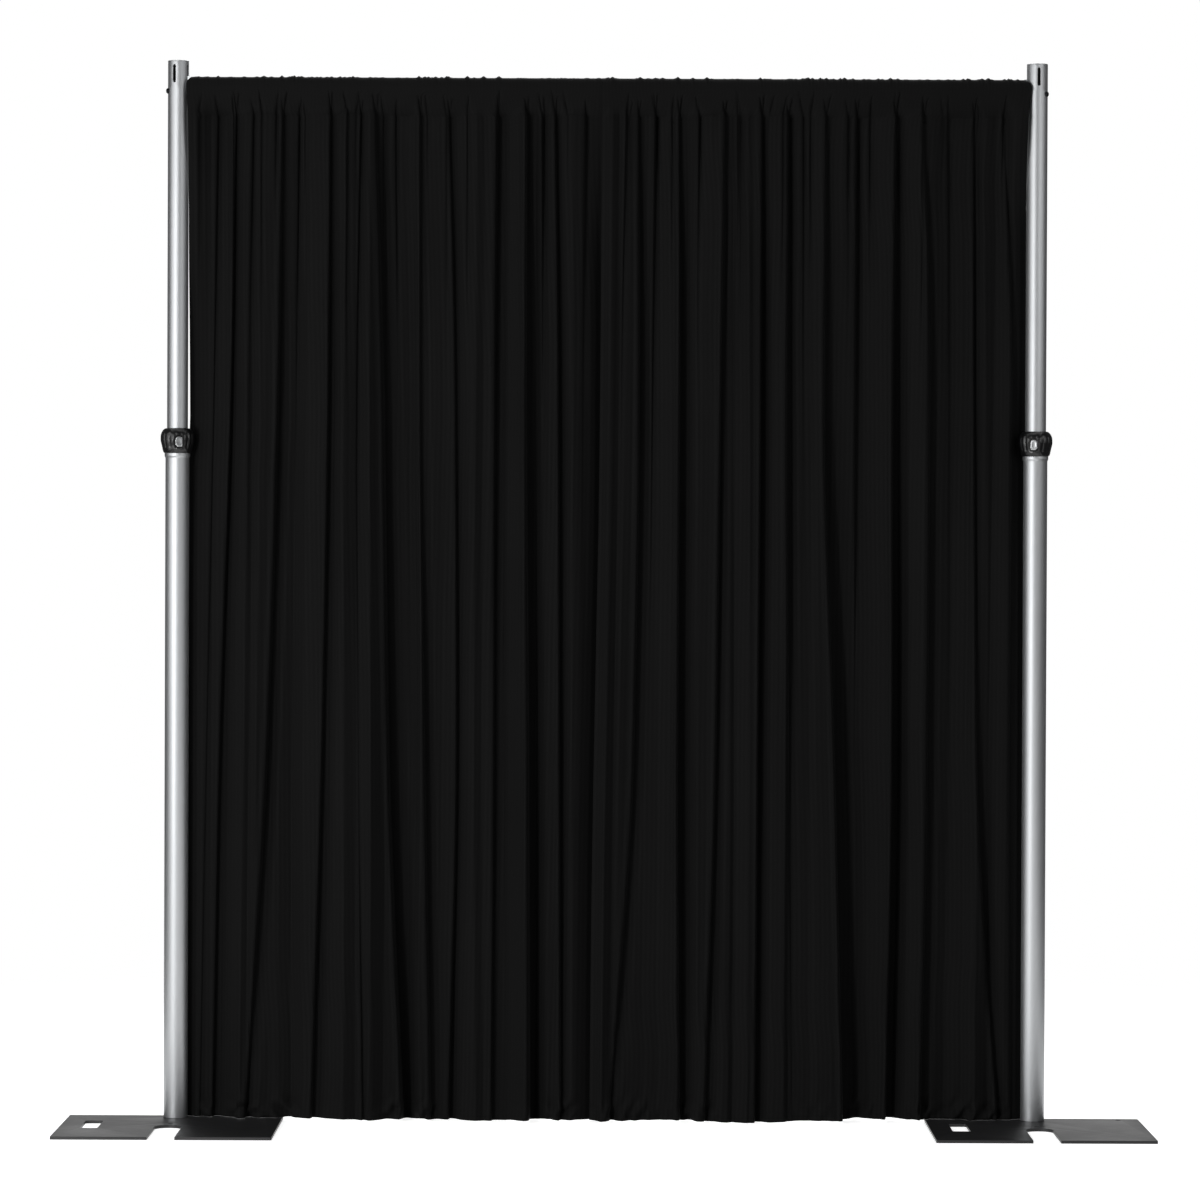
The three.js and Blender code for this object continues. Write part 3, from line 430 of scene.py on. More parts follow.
def platedSteel(name, colours, gloss, grain):
    # Pressed or turned steel under a thin zinc or oxide layer: tumbled, so its grain runs no particular way
    material, tree, _, tumble = startMaterial(name, [((1 / (grain * mm),) * 3, 4.0, 0.65)])
    roughness = addNode(tree, "MapRange", {0: tumble, 1: 0.3, 2: 0.7, 3: gloss - 0.05, 4: gloss + 0.06})
    return finishMaterial(material, tree, tumble, colours, tumble, (0.15, 0.03),
                          {"Metallic": 1.0, "Roughness": roughness})


clothLook = {"colours": ["#131313", "#191919"], "wales": "#2a2a2a", "walesShare": 0.12, "roughness": [0.58, 0.66],
             "yarn": 1.6, "stitch": 3.2, "stitchLine": 1.6,  # mm
             "sewn": [0.026, 2.131, 2.135]}  # metres of cloth up to the hem's stitches and the seam's two rows


def knittedPolyester():
    # Matt black warp knit: soft and non-shiny, with fine vertical wales. UV is the cloth's own place in
    # metres. A wave is 2 pi times its size long: the real wales are about 0.5 mm apart and here 10 mm, and
    # the real stitches about 3 mm long and here 20 mm, so that they show
    material, tree, flat, crease, cloud = startMaterial(
        "knitted polyester", [((26, 7, 1), 5.0, 0.6), ((5, 2, 1), 3.0, 0.5)], "UV")
    knit = {"Vector": flat, "Scale": 1 / (clothLook["yarn"] * mm) / 20, "Distortion": 0.6, "Detail": 1.0,
            "Detail Scale": 2.0}
    wales, courses = (addNode(tree, "TexWave", knit, bands_direction=axis).outputs["Fac"] for axis in "XY")
    softer = addNode(tree, "MapRange", {0: courses, 3: 0.75, 4: 1.0})
    weave = addNode(tree, "Math", {0: wales, 1: softer}, operation="MULTIPLY")
    up = addNode(tree, "SeparateXYZ", {0: flat}).outputs["Y"]
    stitchLines = 0.0
    for height in clothLook["sewn"]:
        gap = addNode(tree, "Math", {0: up, 1: height}, operation="SUBTRACT")
        away = addNode(tree, "Math", {0: gap}, operation="ABSOLUTE")
        near = addNode(tree, "MapRange", {0: away, 1: 0.0, 2: clothLook["stitchLine"] * mm, 3: 1.0, 4: 0.0},
                       interpolation_type="SMOOTHSTEP")
        stitchLines = addNode(tree, "Math", {0: stitchLines, 1: near}, operation="MAXIMUM")
    stitches = addNode(tree, "TexWave", {"Vector": flat, "Scale": 1 / (clothLook["stitch"] * mm) / 20})
    thread = addNode(tree, "Math", {0: stitches.outputs["Fac"], 1: stitchLines}, operation="MULTIPLY")
    creased = addNode(tree, "Math", {0: crease, 1: 6.0}, operation="MULTIPLY")
    sunk = addNode(tree, "Math", {0: creased, 1: stitchLines}, operation="SUBTRACT")
    woven = addNode(tree, "Math", {0: weave, 1: 0.35, 2: sunk}, operation="MULTIPLY_ADD")
    sewn = addNode(tree, "Math", {0: thread, 1: 0.8, 2: woven}, operation="MULTIPLY_ADD")
    dark, light, pale = map(linearColour, (*clothLook["colours"], clothLook["wales"]))
    tone = addNode(tree, "Mix", {0: cloud, 6: dark, 7: light}, data_type="RGBA").outputs[2]
    shaded = addNode(tree, "Mix", {0: weave, 6: tone, 7: pale}, data_type="RGBA").outputs[2]
    low, high = clothLook["roughness"]
    roughness = addNode(tree, "MapRange", {0: cloud, 1: 0.3, 2: 0.7, 3: low, 4: high})
    return finishMaterial(material, tree, clothLook["walesShare"], (tone, shaded), sewn, (0.18, 0.3), {
        "Roughness": roughness, "Specular IOR Level": 0.01, "Sheen Weight": 0.01, "Sheen Roughness": 0.45})


skins = {  # the finish of each material slot
    "anodised_aluminium": anodisedAluminium("anodised aluminium, upright", "Z"),
    "powder_coated_steel": powderCoatedSteel(),
    "black_nylon": mouldedNylon("black nylon", ("#0b0b0c", "#101011"), 0.3),
    "natural_nylon": mouldedNylon("natural nylon", ("#cfccc1", "#dad7cd"), 0.5),
    "zinc_plated_steel": platedSteel("zinc-plated steel", ("#b2b4b6", "#c9cbcc"), 0.3, 0.9),
    "blackened_steel": platedSteel("blackened steel", ("#1f2022", "#2c2d2f"), 0.36, 0.7),
    "black_cloth": knittedPolyester(),
}
barSkin = anodisedAluminium("anodised aluminium, crossbar", "X")
# Painted shade: a dark metal for the faces inside the tubes, so that their bores and slots read as shaded
boreShadeSkin = platedSteel("tube bore, painted shade", ("#2e2e2f", "#3a3a3b"), 0.62, 1.2)
for row in frame["record"]["subparts"]:
    for holder in frame["nodes"][row["node"]].material_slots:
        holder.material = skins[row["material_slot"]]
print("materials: seven finishes")


# Uprights
post = {side: boxOf(f"{side}_lower_tube").mean(axis=0)[:2] for side in sides}  # x and y of each upright's axis
tube = {"wall": 1.6, "lowerRadius": 25.4, "upperRadius": 22.225, "flare": 1.9, "ring": 5, "neck": 6,
        "footEdge": 0.4, "ringEdge": 0.6, "topEdge": 0.5, "steps": 96}  # mm


def endRound(radius, height, size, up):
    # A quarter round at a tube's outer edge, as [radius, height] points going up
    angle = np.linspace(0, quarter, 5)
    points = stacked(radius - size + size * np.cos(angle), height + up * (size * np.sin(angle) - size))
    return points if up > 0 else points[::-1]


def makeLowerTube(side):
    # Profile: straight tube, then a flared neck and an upright ring at its top
    (_, _, bottom), (_, _, top) = boxOf(f"{side}_lower_tube")
    outer, wall, flare = tube["lowerRadius"], tube["wall"], tube["flare"]
    share = np.linspace(0, 1, 8)
    swell = flare * (1 - np.cos(math.pi * share)) / 2
    rise = top - tube["ring"] - tube["neck"] * (1 - share)
    profile = np.concatenate([
        endRound(outer, bottom, tube["footEdge"], -1), stacked(outer + swell, rise),
        endRound(outer + flare, top, tube["ringEdge"], 1), [[outer + flare - wall, top]],
        stacked(outer - wall + swell, rise)[::-1], [[outer - wall, bottom]]])
    makePiece(f"{side}_lower_tube_skin", [latheGrid(profile, tube["steps"])], "anodised_aluminium",
              f"{side}_stand", [f"{side}_lower_tube"], (*post[side], 0), bore=outer - wall + 0.3)


slots = {"width": 6.4, "height": 38.5, "fromTop": 9, "round": 0.35, "cellBelow": 12,  # mm
         "turn": {"left": 18.4, "right": 4.7}, "sideSteps": 12, "endSteps": 12}  # degrees outwards from the front


def slotRing(grow=0.0):
    # A slot with round ends, anticlockwise from its lower left: end arc, right side, end arc, left side
    radius, straight = slots["width"] / 2 + grow, (slots["height"] - slots["width"]) / 2
    turn = np.linspace(0, math.pi, slots["endSteps"] + 1)[:-1]
    lower = stacked(-radius * np.cos(turn), -straight - radius * np.sin(turn))
    right = stacked(radius, np.linspace(-straight, straight, slots["sideSteps"] + 1)[:-1])
    return np.concatenate([lower, right, -lower, -right])


def makeUpperTube(side):
    # Round its top end the tube is four cells of a quarter turn. A cell's points run from the slot's
    # edge out to the cell's rectangle; angle = distance across / radius
    (_, _, bottom), (_, _, top) = boxOf(f"{side}_upper_tube")
    outer, inner, edge = tube["upperRadius"], tube["upperRadius"] - tube["wall"], tube["topEdge"]
    middle = top - slots["fromTop"] - slots["height"] / 2
    cellLow, cellTop = middle - slots["height"] / 2 - slots["cellBelow"], top - edge
    spread = np.array([0, 0.06, 0.2, 0.45, 1.0])[:, None, None]
    layers = []
    for radius, grow in ((outer, slots["round"]), (inner, 0.0)):
        hole, half = slotRing(grow), radius * quarter / 2
        cell = boxRing(np.linspace(-half, half, slots["endSteps"] + 1),
                       np.linspace(cellLow - middle, cellTop - middle, slots["sideSteps"] + 1))
        flat = hole + spread * (cell - hole)
        layers.append(stacked(flat[..., 0] / radius, flat[..., 1], radius))
    across, up = slotRing().T
    lip = stacked(across / outer, up, outer - slots["round"])
    band = np.concatenate([layers[0][::-1], lip[None], layers[1]])
    faces = gridFaces(*band.shape[:2])
    parts = [(aroundZ(band[..., 2], band[..., 0] + turn * quarter, band[..., 1] + middle), faces)
             for turn in range(4)]
    foot = [[inner, cellLow], [inner, bottom], [outer - 0.4, bottom], [outer, bottom + 0.4],
            *([outer, height] for height in np.linspace(bottom + 60, cellLow, 12))]
    rim = [*endRound(outer, top, edge, 1), [inner + 0.3, top], [inner, top - edge]]
    steps = 4 * slots["endSteps"]
    parts += [latheGrid(profile, steps, closed=False, start=-quarter / 2) for profile in (foot, rim)]
    makePiece(f"{side}_upper_tube_skin", parts, "anodised_aluminium", f"{side}_mast", [f"{side}_upper_tube"],
              (*post[side], 0), sides[side] * slots["turn"][side], bore=inner + 0.3)


button = {"radius": 6, "height": 4.9, "shoulder": 0.8, "dimple": 1.6, "fromTop": 64.5,  # mm
          "fromSlot": 50}  # degrees


def makeStopButton(side):
    # A domed rivet head with a small dimple in its crown, turned about the line out of the tube
    base, radius, dimple = tube["upperRadius"] - 0.2, button["radius"], button["dimple"]
    angle, shoulder = np.linspace(0, quarter, 12), button["shoulder"]
    dome = stacked(radius * np.cos(angle) ** 0.8, base + shoulder + (button["height"] - shoulder) * np.sin(angle))
    dome = dome[dome[:, 0] > dimple]
    crown = dome[-1, 1]
    profile = [[0, base - 0.6], [radius - 0.4, base - 0.6], [radius, base + 0.3], *dome,
               [dimple * 0.9, crown + 0.05], [dimple * 0.4, crown - 0.7], [0, crown - 0.9]]
    points, faces = latheGrid(profile, 32, closed=False)
    facing = points[..., [0, 2, 1]] * [1, -1, 1]  # from +Z to the front
    place = (*post[side], boxOf(f"{side}_upper_tube")[1][2] - button["fromTop"])
    makePiece(f"{side}_stop_button_head", [(facing, faces)], "blackened_steel", f"{side}_mast",
              [f"{side}_stop_button"], place, sides[side] * (slots["turn"][side] + button["fromSlot"]), 50)


collar = {  # mm, and degrees that its lever is turned inwards from the front
    "footRadius": 27.3, "belly": 36.0, "rimRadius": 25.7, "bore": 22.8, "turn": 11,
    # how far it has swollen towards its belly, at shares of its height
    "foot": [(0, 0.0), (0.025, 0.2), (0.07, 0.36), (0.16, 0.5), (0.28, 0.66), (0.44, 0.9)],
    "crown": [(0.56, 1.0), (0.7, 0.975), (0.79, 0.87), (0.87, 0.68), (0.94, 0.42), (0.985, 0.14), (1, 0.0)],
    "ribs": 16, "ribDepth": 1.7, "ribFade": [0.14, 0.25, 0.74, 0.86],  # shares of its height
    "recess": [27, 30], "recessDepth": 3.5, "columnsPerRib": 12, "patchRibs": 3}
lever = {"width": 14, "height": 21.7, "fromFoot": 13.2, "thick": 2.6, "proud": 1.0, "gap": 0.8, "room": 0.6,
         "bite": 3.1, "block": [6.8, 7.2, 1.2], "blockUp": 6.4}  # mm


def collarRadius(angle, share):
    # Barrel outline up the height; between ribs it draws in along a cusp, fading out at both ends
    ups, swell = np.array(collar["foot"] + collar["crown"]).T
    least = np.where(ups < 0.5, collar["footRadius"], collar["rimRadius"])
    low, full, high, out = collar["ribFade"]
    fade = smoothStep(share, low, full) * (1 - smoothStep(share, high, out))
    groove = collar["ribDepth"] * (1 - np.abs(np.cos(collar["ribs"] * angle / 2)) ** 0.8)
    return smoothThrough(ups, least + (collar["belly"] - least) * swell, share) - groove * fade


def archReach(angle, width, height, bite=0.0, biteSide=1):
    # Distance from the middle of an arched outline to its edge, along each angle from the right.
    # A bite takes a round nick out of one lower corner
    half, tall = width / 2, height / 2
    c, s = np.cos(angle), np.sin(angle)
    reach = np.minimum(half / np.maximum(np.abs(c), 1e-9), tall / np.maximum(-s, 1e-9))
    crown = tall - half
    arc = s * crown + np.sqrt(np.maximum((s * crown) ** 2 - crown ** 2 + half ** 2, 0))
    reach = np.where(reach * s > crown, arc, reach)
    if bite:
        towards = c * biteSide * half - s * tall
        under = towards ** 2 - (half ** 2 + tall ** 2) + bite ** 2
        nick = towards - np.sqrt(np.maximum(under, 0))
        reach = np.where((under > 0) & (towards > 0), np.minimum(reach, nick), reach)
    return reach


def makeCollar(side):
    # The barrel is a grid of angle and height. In front of the lever it is rings from the lever's
    # window out through the oval recess to the patch's rectangle
    (_, _, foot), (_, _, top) = boxOf(f"{side}_height_collar")
    tall, belly = top - foot, collar["belly"]
    shares = np.concatenate([np.linspace(0, 0.1, 8)[:-1], np.linspace(0.1, 0.9, 32), np.linspace(0.9, 1, 9)[1:]])
    columns, patch = (count * collar["columnsPerRib"] for count in (collar["ribs"], collar["patchRibs"]))
    step = whole / columns
    edge = patch / 2 * step
    angles = edge + step * np.arange(columns - patch + 1)
    rows = shares[:, None]
    parts = [(aroundZ(collarRadius(angles, rows), angles, foot + tall * rows),
              gridFaces(len(shares), len(angles), wrapColumns=False))]

    ring = boxRing(np.linspace(-edge, edge, patch + 1), shares)
    middle = (lever["fromFoot"] + lever["height"] / 2) / tall
    direction = np.arctan2((ring[:, 1] - middle) * tall, ring[:, 0] * belly)
    c, s = np.cos(direction), np.sin(direction)
    wide, high = collar["recess"]
    ovalReach = 1 / np.sqrt((c / (wide / 2)) ** 2 + (s / (high / 2)) ** 2)
    oval = stacked(ovalReach * c / belly, middle + ovalReach * s / tall)
    flat = oval + np.array([1, 0.55, 0.25, 0.08, 0])[:, None, None] * (ring - oval)
    angle, share = flat[..., 0], flat[..., 1]
    rings = [aroundZ(collarRadius(angle, share), angle, foot + tall * share)]
    depth = belly - collar["recessDepth"]
    window = archReach(direction, lever["width"] + 2 * lever["gap"], lever["height"] + 2 * lever["gap"])
    lip = ovalReach - 0.35
    lipRadius = collarRadius(lip * c / belly, middle + lip * s / tall) - 0.45
    room = lever["room"]  # the tongue's top moves in and up as it is pressed
    for reach, back, rise in (
            (lip, np.sqrt(np.maximum(lipRadius ** 2 - (lip * c) ** 2, 0)), 0), (ovalReach - 0.7, depth + 0.5, 0),
            (ovalReach - 1.2, depth, 0), (window + 0.3, depth, room), (window, depth - 0.4, room),
            (window, depth - 6, 2 * room), (0, depth - 6.5, 0)):
        up = foot + tall * middle + reach * s + rise * np.maximum(s, 0)
        rings.append(stacked(reach * c, -back, up)[None])
    inwards = np.concatenate(rings)
    parts.append((inwards, gridFaces(*inwards.shape[:2])))

    rim, bore = collar["rimRadius"], collar["bore"]
    inner = [[rim, top], [rim - 0.9, top + 0.01], [bore + 0.6, top], [bore, top - 0.6], [bore, foot + 0.4],
             [bore + 0.4, foot], [collar["footRadius"], foot]]
    parts.append(latheGrid(inner, columns, closed=False))
    makePiece(f"{side}_collar_barrel", parts, "black_nylon", f"{side}_stand", [f"{side}_height_collar"],
              (*post[side], 0), -sides[side] * collar["turn"], 40)


def makeLever(side):
    # The arched tongue: rings from its back, round its edge and in over a slightly dished face, with
    # the cam's block behind it. Angles and reaches are from the tongue's middle
    angle = np.linspace(0, whole, 96, endpoint=False) + 0.013  # no point lies on the arch's corners
    outline = archReach(angle, lever["width"], lever["height"], lever["bite"], sides[side])
    face = collar["belly"] - collar["recessDepth"] + lever["proud"]
    back = face - lever["thick"]
    rings = []
    for scale, inset, depth in (
            (0, 0, back), (1, 0.9, back), (1, 0.2, back + 0.25), (1, 0, back + 0.9), (1, 0, face - 0.8),
            (1, 0.25, face - 0.22), (1, 0.85, face), (0.62, 0, face - 0.25), (0.3, 0, face - 0.5),
            (0, 0, face - 0.55)):
        reach = np.maximum(outline * scale - inset, 0)
        rings.append(stacked(reach * np.cos(angle), -depth, reach * np.sin(angle)))
    tongue = [(np.stack(rings), gridFaces(len(rings), len(angle)))]
    width, height, corner = lever["block"]
    block = filleted([(-width / 2, -height / 2), (width / 2, -height / 2), (width / 2, height / 2),
                      (-width / 2, height / 2)], corner, 3) + [0, lever["blockUp"] - lever["height"] / 2]
    levels = np.array([back + 0.3, back - 3.4, back - 5.4])
    cam = stacked(block[:, 0], -levels[:, None], block[:, 1])
    caps = [(cam[k], [list(range(len(block)))]) for k in (0, -1)]
    foot = boxOf(f"{side}_height_collar")[0][2]
    place = (*post[side], foot + lever["fromFoot"] + lever["height"] / 2)
    for label, parts, nodes in (("lever_tongue", tongue, [f"{side}_cam_lever"]),
                                ("lever_cam", [(cam, gridFaces(*cam.shape[:2])), *caps], ())):
        makePiece(f"{side}_{label}", parts, "zinc_plated_steel", f"{side}_lever", nodes, place,
                  -sides[side] * collar["turn"], 38)


plate = {"width": 457.2, "depth": 355.6, "thick": 6.35, "toRear": 28, "corner": 3, "edge": 0.7,  # mm
         "notch": [57, 192], "handHole": [45, 142, 37, 119, 5],  # from left, from front, width, depth, corner
         "hang": [29, 6], "cornerHole": [44, 19, 6],  # places from the notch and the corner, and radii
         "screwHole": 11.4}


def roundHole(x, y, radius, steps=32):
    # A circle, clockwise
    angle = np.linspace(0, -whole, steps, endpoint=False)
    return stacked(x + radius * np.cos(angle), y + radius * np.sin(angle))


def makeBasePlate(side):
    # The outline and its holes carried up through a profile with small rounded edges
    half, front, rear = plate["width"] / 2, plate["toRear"] - plate["depth"], plate["toRear"]
    notchHalf, notchEnd = plate["notch"][0] / 2, front + plate["notch"][1]
    outline = filleted([(half, front), (half, rear), (-half, rear), (-half, front), (-notchHalf, front),
                        (-notchHalf, notchEnd), (notchHalf, notchEnd), (notchHalf, front)],
                       [plate["corner"]] * 4 + [1.0, notchHalf * 0.998, notchHalf * 0.998, 1.0], 14)
    x, y, width, depth, corner = plate["handHole"]
    left, near = x - half, y + front
    handHole = filleted([(left, near), (left, near + depth), (left + width, near + depth), (left + width, near)],
                        corner, 8)
    fromRight, fromRear, radius = plate["cornerHole"]
    holes = [handHole, roundHole(0, notchEnd + plate["hang"][0], plate["hang"][1]),
             roundHole(half - fromRight, rear - fromRear, radius), roundHole(0, 0, plate["screwHole"])]
    t, e = plate["thick"], plate["edge"]
    profile = [(e, 0), (0.3 * e, 0.12 * e), (0, 0.6 * e), (0, t - 0.6 * e), (0.3 * e, t - 0.12 * e), (e, t)]
    makePiece(f"{side}_plate_skin", sheetMetal([outline, *holes], profile), "powder_coated_steel",
              f"{side}_base", [f"{side}_base_plate"], (*post[side], 0), crease=30)


for side in sides:
    for make in (makeLowerTube, makeUpperTube, makeStopButton, makeCollar, makeLever, makeBasePlate):
        make(side)
print("uprights: tubes, collars, levers, buttons and plates")


# Crossbar
bar = {"outerRadius": 15.875, "innerRadius": 14.2875, "wall": 1.2, "edge": 0.5, "plain": 40, "hookEdge": 0.35,  # mm
       "rings": 14, "steps": 64}


def makeBar(node, body, outer):
    # A tube with rounded ends, made along +Z and laid along +X
    low, high = boxOf(node)
    start, end, edge, inner = low[0], high[0], bar["edge"], outer - bar["wall"]
    profile = [*endRound(outer, start, edge, -1),
               *([outer, along] for along in np.linspace(start + bar["plain"], end - bar["plain"], bar["rings"])),
               *endRound(outer, end, edge, 1), [inner, end], [inner, start]]
    points, faces = latheGrid(profile, bar["steps"])
    _, axisY, axisZ = (low + high) / 2
    makePiece(f"{node}_skin", [(points[..., [2, 1, 0]] * [1, 1, -1], faces)], "anodised_aluminium", body, [node],
              (0, axisY, axisZ), skin=barSkin)
    return axisY, axisZ


barY, barZ = makeBar("crossbar_outer_tube", "left_mast", bar["outerRadius"])
makeBar("crossbar_inner_tube", "right_mast", bar["innerRadius"])
for node in ("left_bar_hook", "right_bar_hook", "left_hook_rivet", "right_hook_rivet"):
    hook = frame["nodes"][node]
    weld = hook.modifiers.new("weld", "WELD")
    weld.merge_threshold = 0.01 * mm
    bevel = hook.modifiers.new("eased edges", "BEVEL")
    bevel.width, bevel.segments = bar["hookEdge"] * mm, 2
    bevel.limit_method, bevel.angle_limit = "ANGLE", math.radians(40)
print("crossbar: two tubes and their hooks")


# Cloth
drape = {
    "flatWidth": 1.26,  # metres of cloth gathered into each panel
    "thick": 0.9, "clearance": 0.8, "seam": 2141, "seamTail": 11,  # mm
    "columns": 640, "bodyRows": 32, "frontRows": 14, "overRows": 10, "backRows": 4,
    "nearHem": [0, 5, 11, 18, 25, 33, 42, 53, 68, 88],  # mm above the hem, where the rows of cloth lie closer
    "calm": [0.045, 0.03], "bent": [0.06, 0.05],  # shares of the width, at the outer and the inner edge, that
    # have no folds, and that turn back
    # The left panel's inner edge low down, at the seam, and the height where it starts to change, and the
    # right panel's inner edge: mm past the meeting line, and mm back from the bar
    "overlap": [24, 4, 1650, -1], "behind": [32, 3, 1700, -3],
}
hem = {"onPlates": 6.8, "between": 3.6, "least": 0.9, "reach": 90,  # heights in mm
       "plates": [480, 560], "waves": [(1.7, 43), (1.5, 91)],  # where the plates start; size and length / 2 pi, mm
       "crumpled": [7.5, 1.5]}  # mm that its dents go back and aside
pocket = {"tangent": -12, "slack": 2.0, "lap": 1.8, "backSlack": 1.7, "tailOut": 2.2}  # degrees and mm
meeting = [(0, -30), (500, -27), (1000, -20), (1400, -14), (1800, -12), (2260, -11)]  # height, and x in mm
foldLevels = [2141, 1560, 790, 9]  # heights, in mm, at which each fold's place and depth are given
folds = {  # four places in mm from the middle of the bar, four depths in mm, and the width of the fold's valley
    "left": [
        (-829, -837, -850, -862, 9, 7, 4, 5, 18), (-790, -799, -821, -834, 13, 15, 11, 10, 24),
        (-752, -760, -761, -759, 8, 2, 0, 0, 13), (-690, -698, -719, -763, 14, 19, 16, 13, 24),
        (-656, -660, -659, -656, 8, 2, 0, 0, 13), (-588, -590, -601, -622, 14, 16, 15, 15, 28),
        (-524, -530, -524, -512, 13, 6, 3, 8, 20), (-492, -474, -461, -428, 12, 21, 28, 29, 40),
        (-451, -445, -437, -430, 8, 2, 0, 0, 13), (-398, -396, -384, -368, 13, 14, 16, 13, 22),
        (-336, -321, -316, -330, 12, 11, 14, 14, 26), (-232, -236, -235, -238, 14, 12, 9, 9, 26),
        (-172, -170, -162, -157, 16, 22, 25, 26, 34), (-138, -135, -128, -125, 9, 3, 0, 0, 13),
        (-110, -101, -96, -91, 14, 17, 17, 13, 24), (-46, -50, -49, -51, 11, 3, 0, 0, 14)],
    "right": [
        (41, 33, 32, 35, 10, 3, 0, 0, 14), (67, 71, 62, 13, 13, 17, 14, 10, 24),
        (103, 99, 96, 99, 12, 5, 0, 0, 15), (154, 157, 156, 163, 15, 21, 22, 19, 38),
        (195, 193, 192, 195, 8, 2, 0, 0, 14), (250, 244, 237, 216, 14, 18, 14, 12, 24),
        (284, 287, 290, 293, 8, 1, 0, 0, 13), (329, 329, 326, 323, 15, 22, 22, 19, 27),
        (385, 383, 392, 402, 14, 14, 7, 2, 22), (417, 419, 422, 425, 8, 2, 0, 0, 13),
        (466, 464, 490, 512, 13, 22, 33, 33, 56), (532, 532, 535, 538, 15, 12, 2, 0, 20),
        (615, 611, 614, 604, 15, 24, 30, 28, 32), (673, 690, 689, 677, 12, 13, 12, 12, 24),
        (726, 732, 736, 738, 7, 2, 1, 0, 14), (781, 784, 793, 841, 12, 14, 12, 13, 26),
        (845, 865, 863, 871, 8, 8, 6, 4, 18)],
}
section = {  # of a fold, across it
    "slope": [(0, 0.4, 1.0, 3.1), (1, 0.93, 0.33, 0)],  # widths from its bottom, and shares of its depth there
    "crest": [4, 5, 0.17],  # mm beyond its drop, mm of width, and share of its depth
    "drop": 3.4, "shortDrop": 3.0,  # mm, of the named folds and of the short tucks
    "gathered": 0.6, "opensOver": 0.35}  # share of its width at the seam, and share of the panel until it has all
tucks = {"seed": {"left": 11, "right": 23}, "span": {"left": (-880, -40), "right": (10, 880)},  # mm from here on
         "count": 15, "depth": [3, 8], "width": [12, 20], "fadeTo": [1990, 1450],  # short gathers between the folds
         "lean": [2, 14], "top": [0.55, 0.9],  # how far they lean in the pocket, and the share of it where they end
         "splitFrom": 11, "size": [0.75, 1.1],  # depth of a fold that splits into two, and how their sizes vary
         "ofFold": [0.55, 2.5], "halfWidth": [1.1, 2.4]}  # share of its depth, and mm; mm at the end, and added
facets = {"spacing": [8, 34], "beyond": 60,  # mm between the cloth's soft creases, and past the panel's edges
          "tilt": 0.55, "kept": 0.55,  # slope between them, and how much of a crease's depth the next one keeps
          "drift": [9, 110, 3, 60, 5]}  # aside on the way down: size and length / 2 pi, twice, in mm, then a turn
sways = [(2.6, 37, 1.4, 1), (4, 71, -0.9, 2)]  # broad swells: size and length / 2 pi in mm, lean, shift by the seed
ruffles = {"count": 95, "height": [0.8, 4.2], "width": [2.4, 4.6],  # bumps of gathered cloth over the bar, mm
           "groups": [61, 23, 0.7, -0.25],  # length / 2 pi of two waves, share of the second, least sum
           "apart": 0.35}  # their size outside the groups
crumples = [(-859, 26), (-767, 36), (-680, 32), (-450, 22), (-384, 24), (-88, 40), (0, 26), (62, 34), (200, 38),
            (546, 30), (674, 28), (770, 30), (838, 30)]  # where the hem bunches up: middle and half width, mm
dents = {"waves": 6, "length": [32, 70], "rise": [28, 60], "bend": [0.6, 19],  # mm across and up, and their bend
         "limit": 1.3, "height": [10, 34],  # sum of waves where they level off; mm above the floor, and half height
         "elsewhere": 0.3, "patches": [47, 23, 0.6], "edge": [-0.1, 0.9]}  # their size and places between crumples
outerEdge = {  # height; distance from the upright's axis; forward (-) or back (+) of the bar; all in mm
    "left": [(0, 20, 24), (700, 20, 24), (1200, 20, 25), (1330, 20, 31), (1400, 20.5, 32), (1440, 22.5, 32),
             (1484, 24.4, 32), (1560, 23.9, 32), (1700, 23.4, 24), (1862, 23, 5), (1960, 22.9, 1), (2040, 22.9, -9),
             (2100, 22.8, -18), (2141, 22.4, -22), (2165, 21.5, -24), (2185, 19.5, -25), (2200, 18.5, -25),
             (2212, 19.5, -22), (2219, 24, -13), (2223, 28.5, 0)],
    "right": [(0, 20, 24), (700, 20, 24), (1200, 20, 25), (1330, 20, 31), (1420, 19.5, 32), (1480, 19.3, 32),
              (1540, 19, 28), (1620, 19, 23), (1900, 19, 22), (1975, 22.9, 4), (2040, 22.9, -9), (2100, 21.8, -19),
              (2148, 20.4, -24), (2177, 17.5, -25), (2192, 15.5, -25), (2205, 13.8, -25), (2213, 15.5, -22),
              (2219, 21, -14), (2223, 28.5, 0)],
}


def fold(x, centre, width, wall):
    # A fold's cross-section, from 1 at its bottom to 0: a near drop on its left, where the crest stands
    # over it, then a slope up to the right, steep for one width and gentle for two more
    beyond, broad, share = section["crest"]
    drop = smoothStep(x, centre - wall, centre)
    crest = np.exp(-((x - centre + wall + beyond) / broad) ** 2)
    t = np.maximum((x - centre) / width, 0)
    return drop * np.interp(t, *section["slope"]) - share * crest


def foldTable(side):
    # The named folds, the seeded short tucks between them, and the soft creases that part the facets
    random = np.random.default_rng(tucks["seed"][side])
    (low, high), count = tucks["span"][side], tucks["count"]
    spots = low + (high - low) * (np.arange(count) + random.uniform(0.1, 0.9, count)) / count
    short = stacked(spots, random.uniform(*tucks["depth"], count), random.uniform(*tucks["fadeTo"][::-1], count),
                    random.uniform(*tucks["width"], count))
    creases, levels = [low - facets["beyond"]], [0.0]
    while creases[-1] < high + facets["beyond"]:
        step = random.uniform(*facets["spacing"])
        creases.append(creases[-1] + step)
        levels.append(levels[-1] * facets["kept"] + step * facets["tilt"] * random.uniform(-1, 1))
    return np.array(folds[side], float), short, np.array(creases), np.array(levels), random


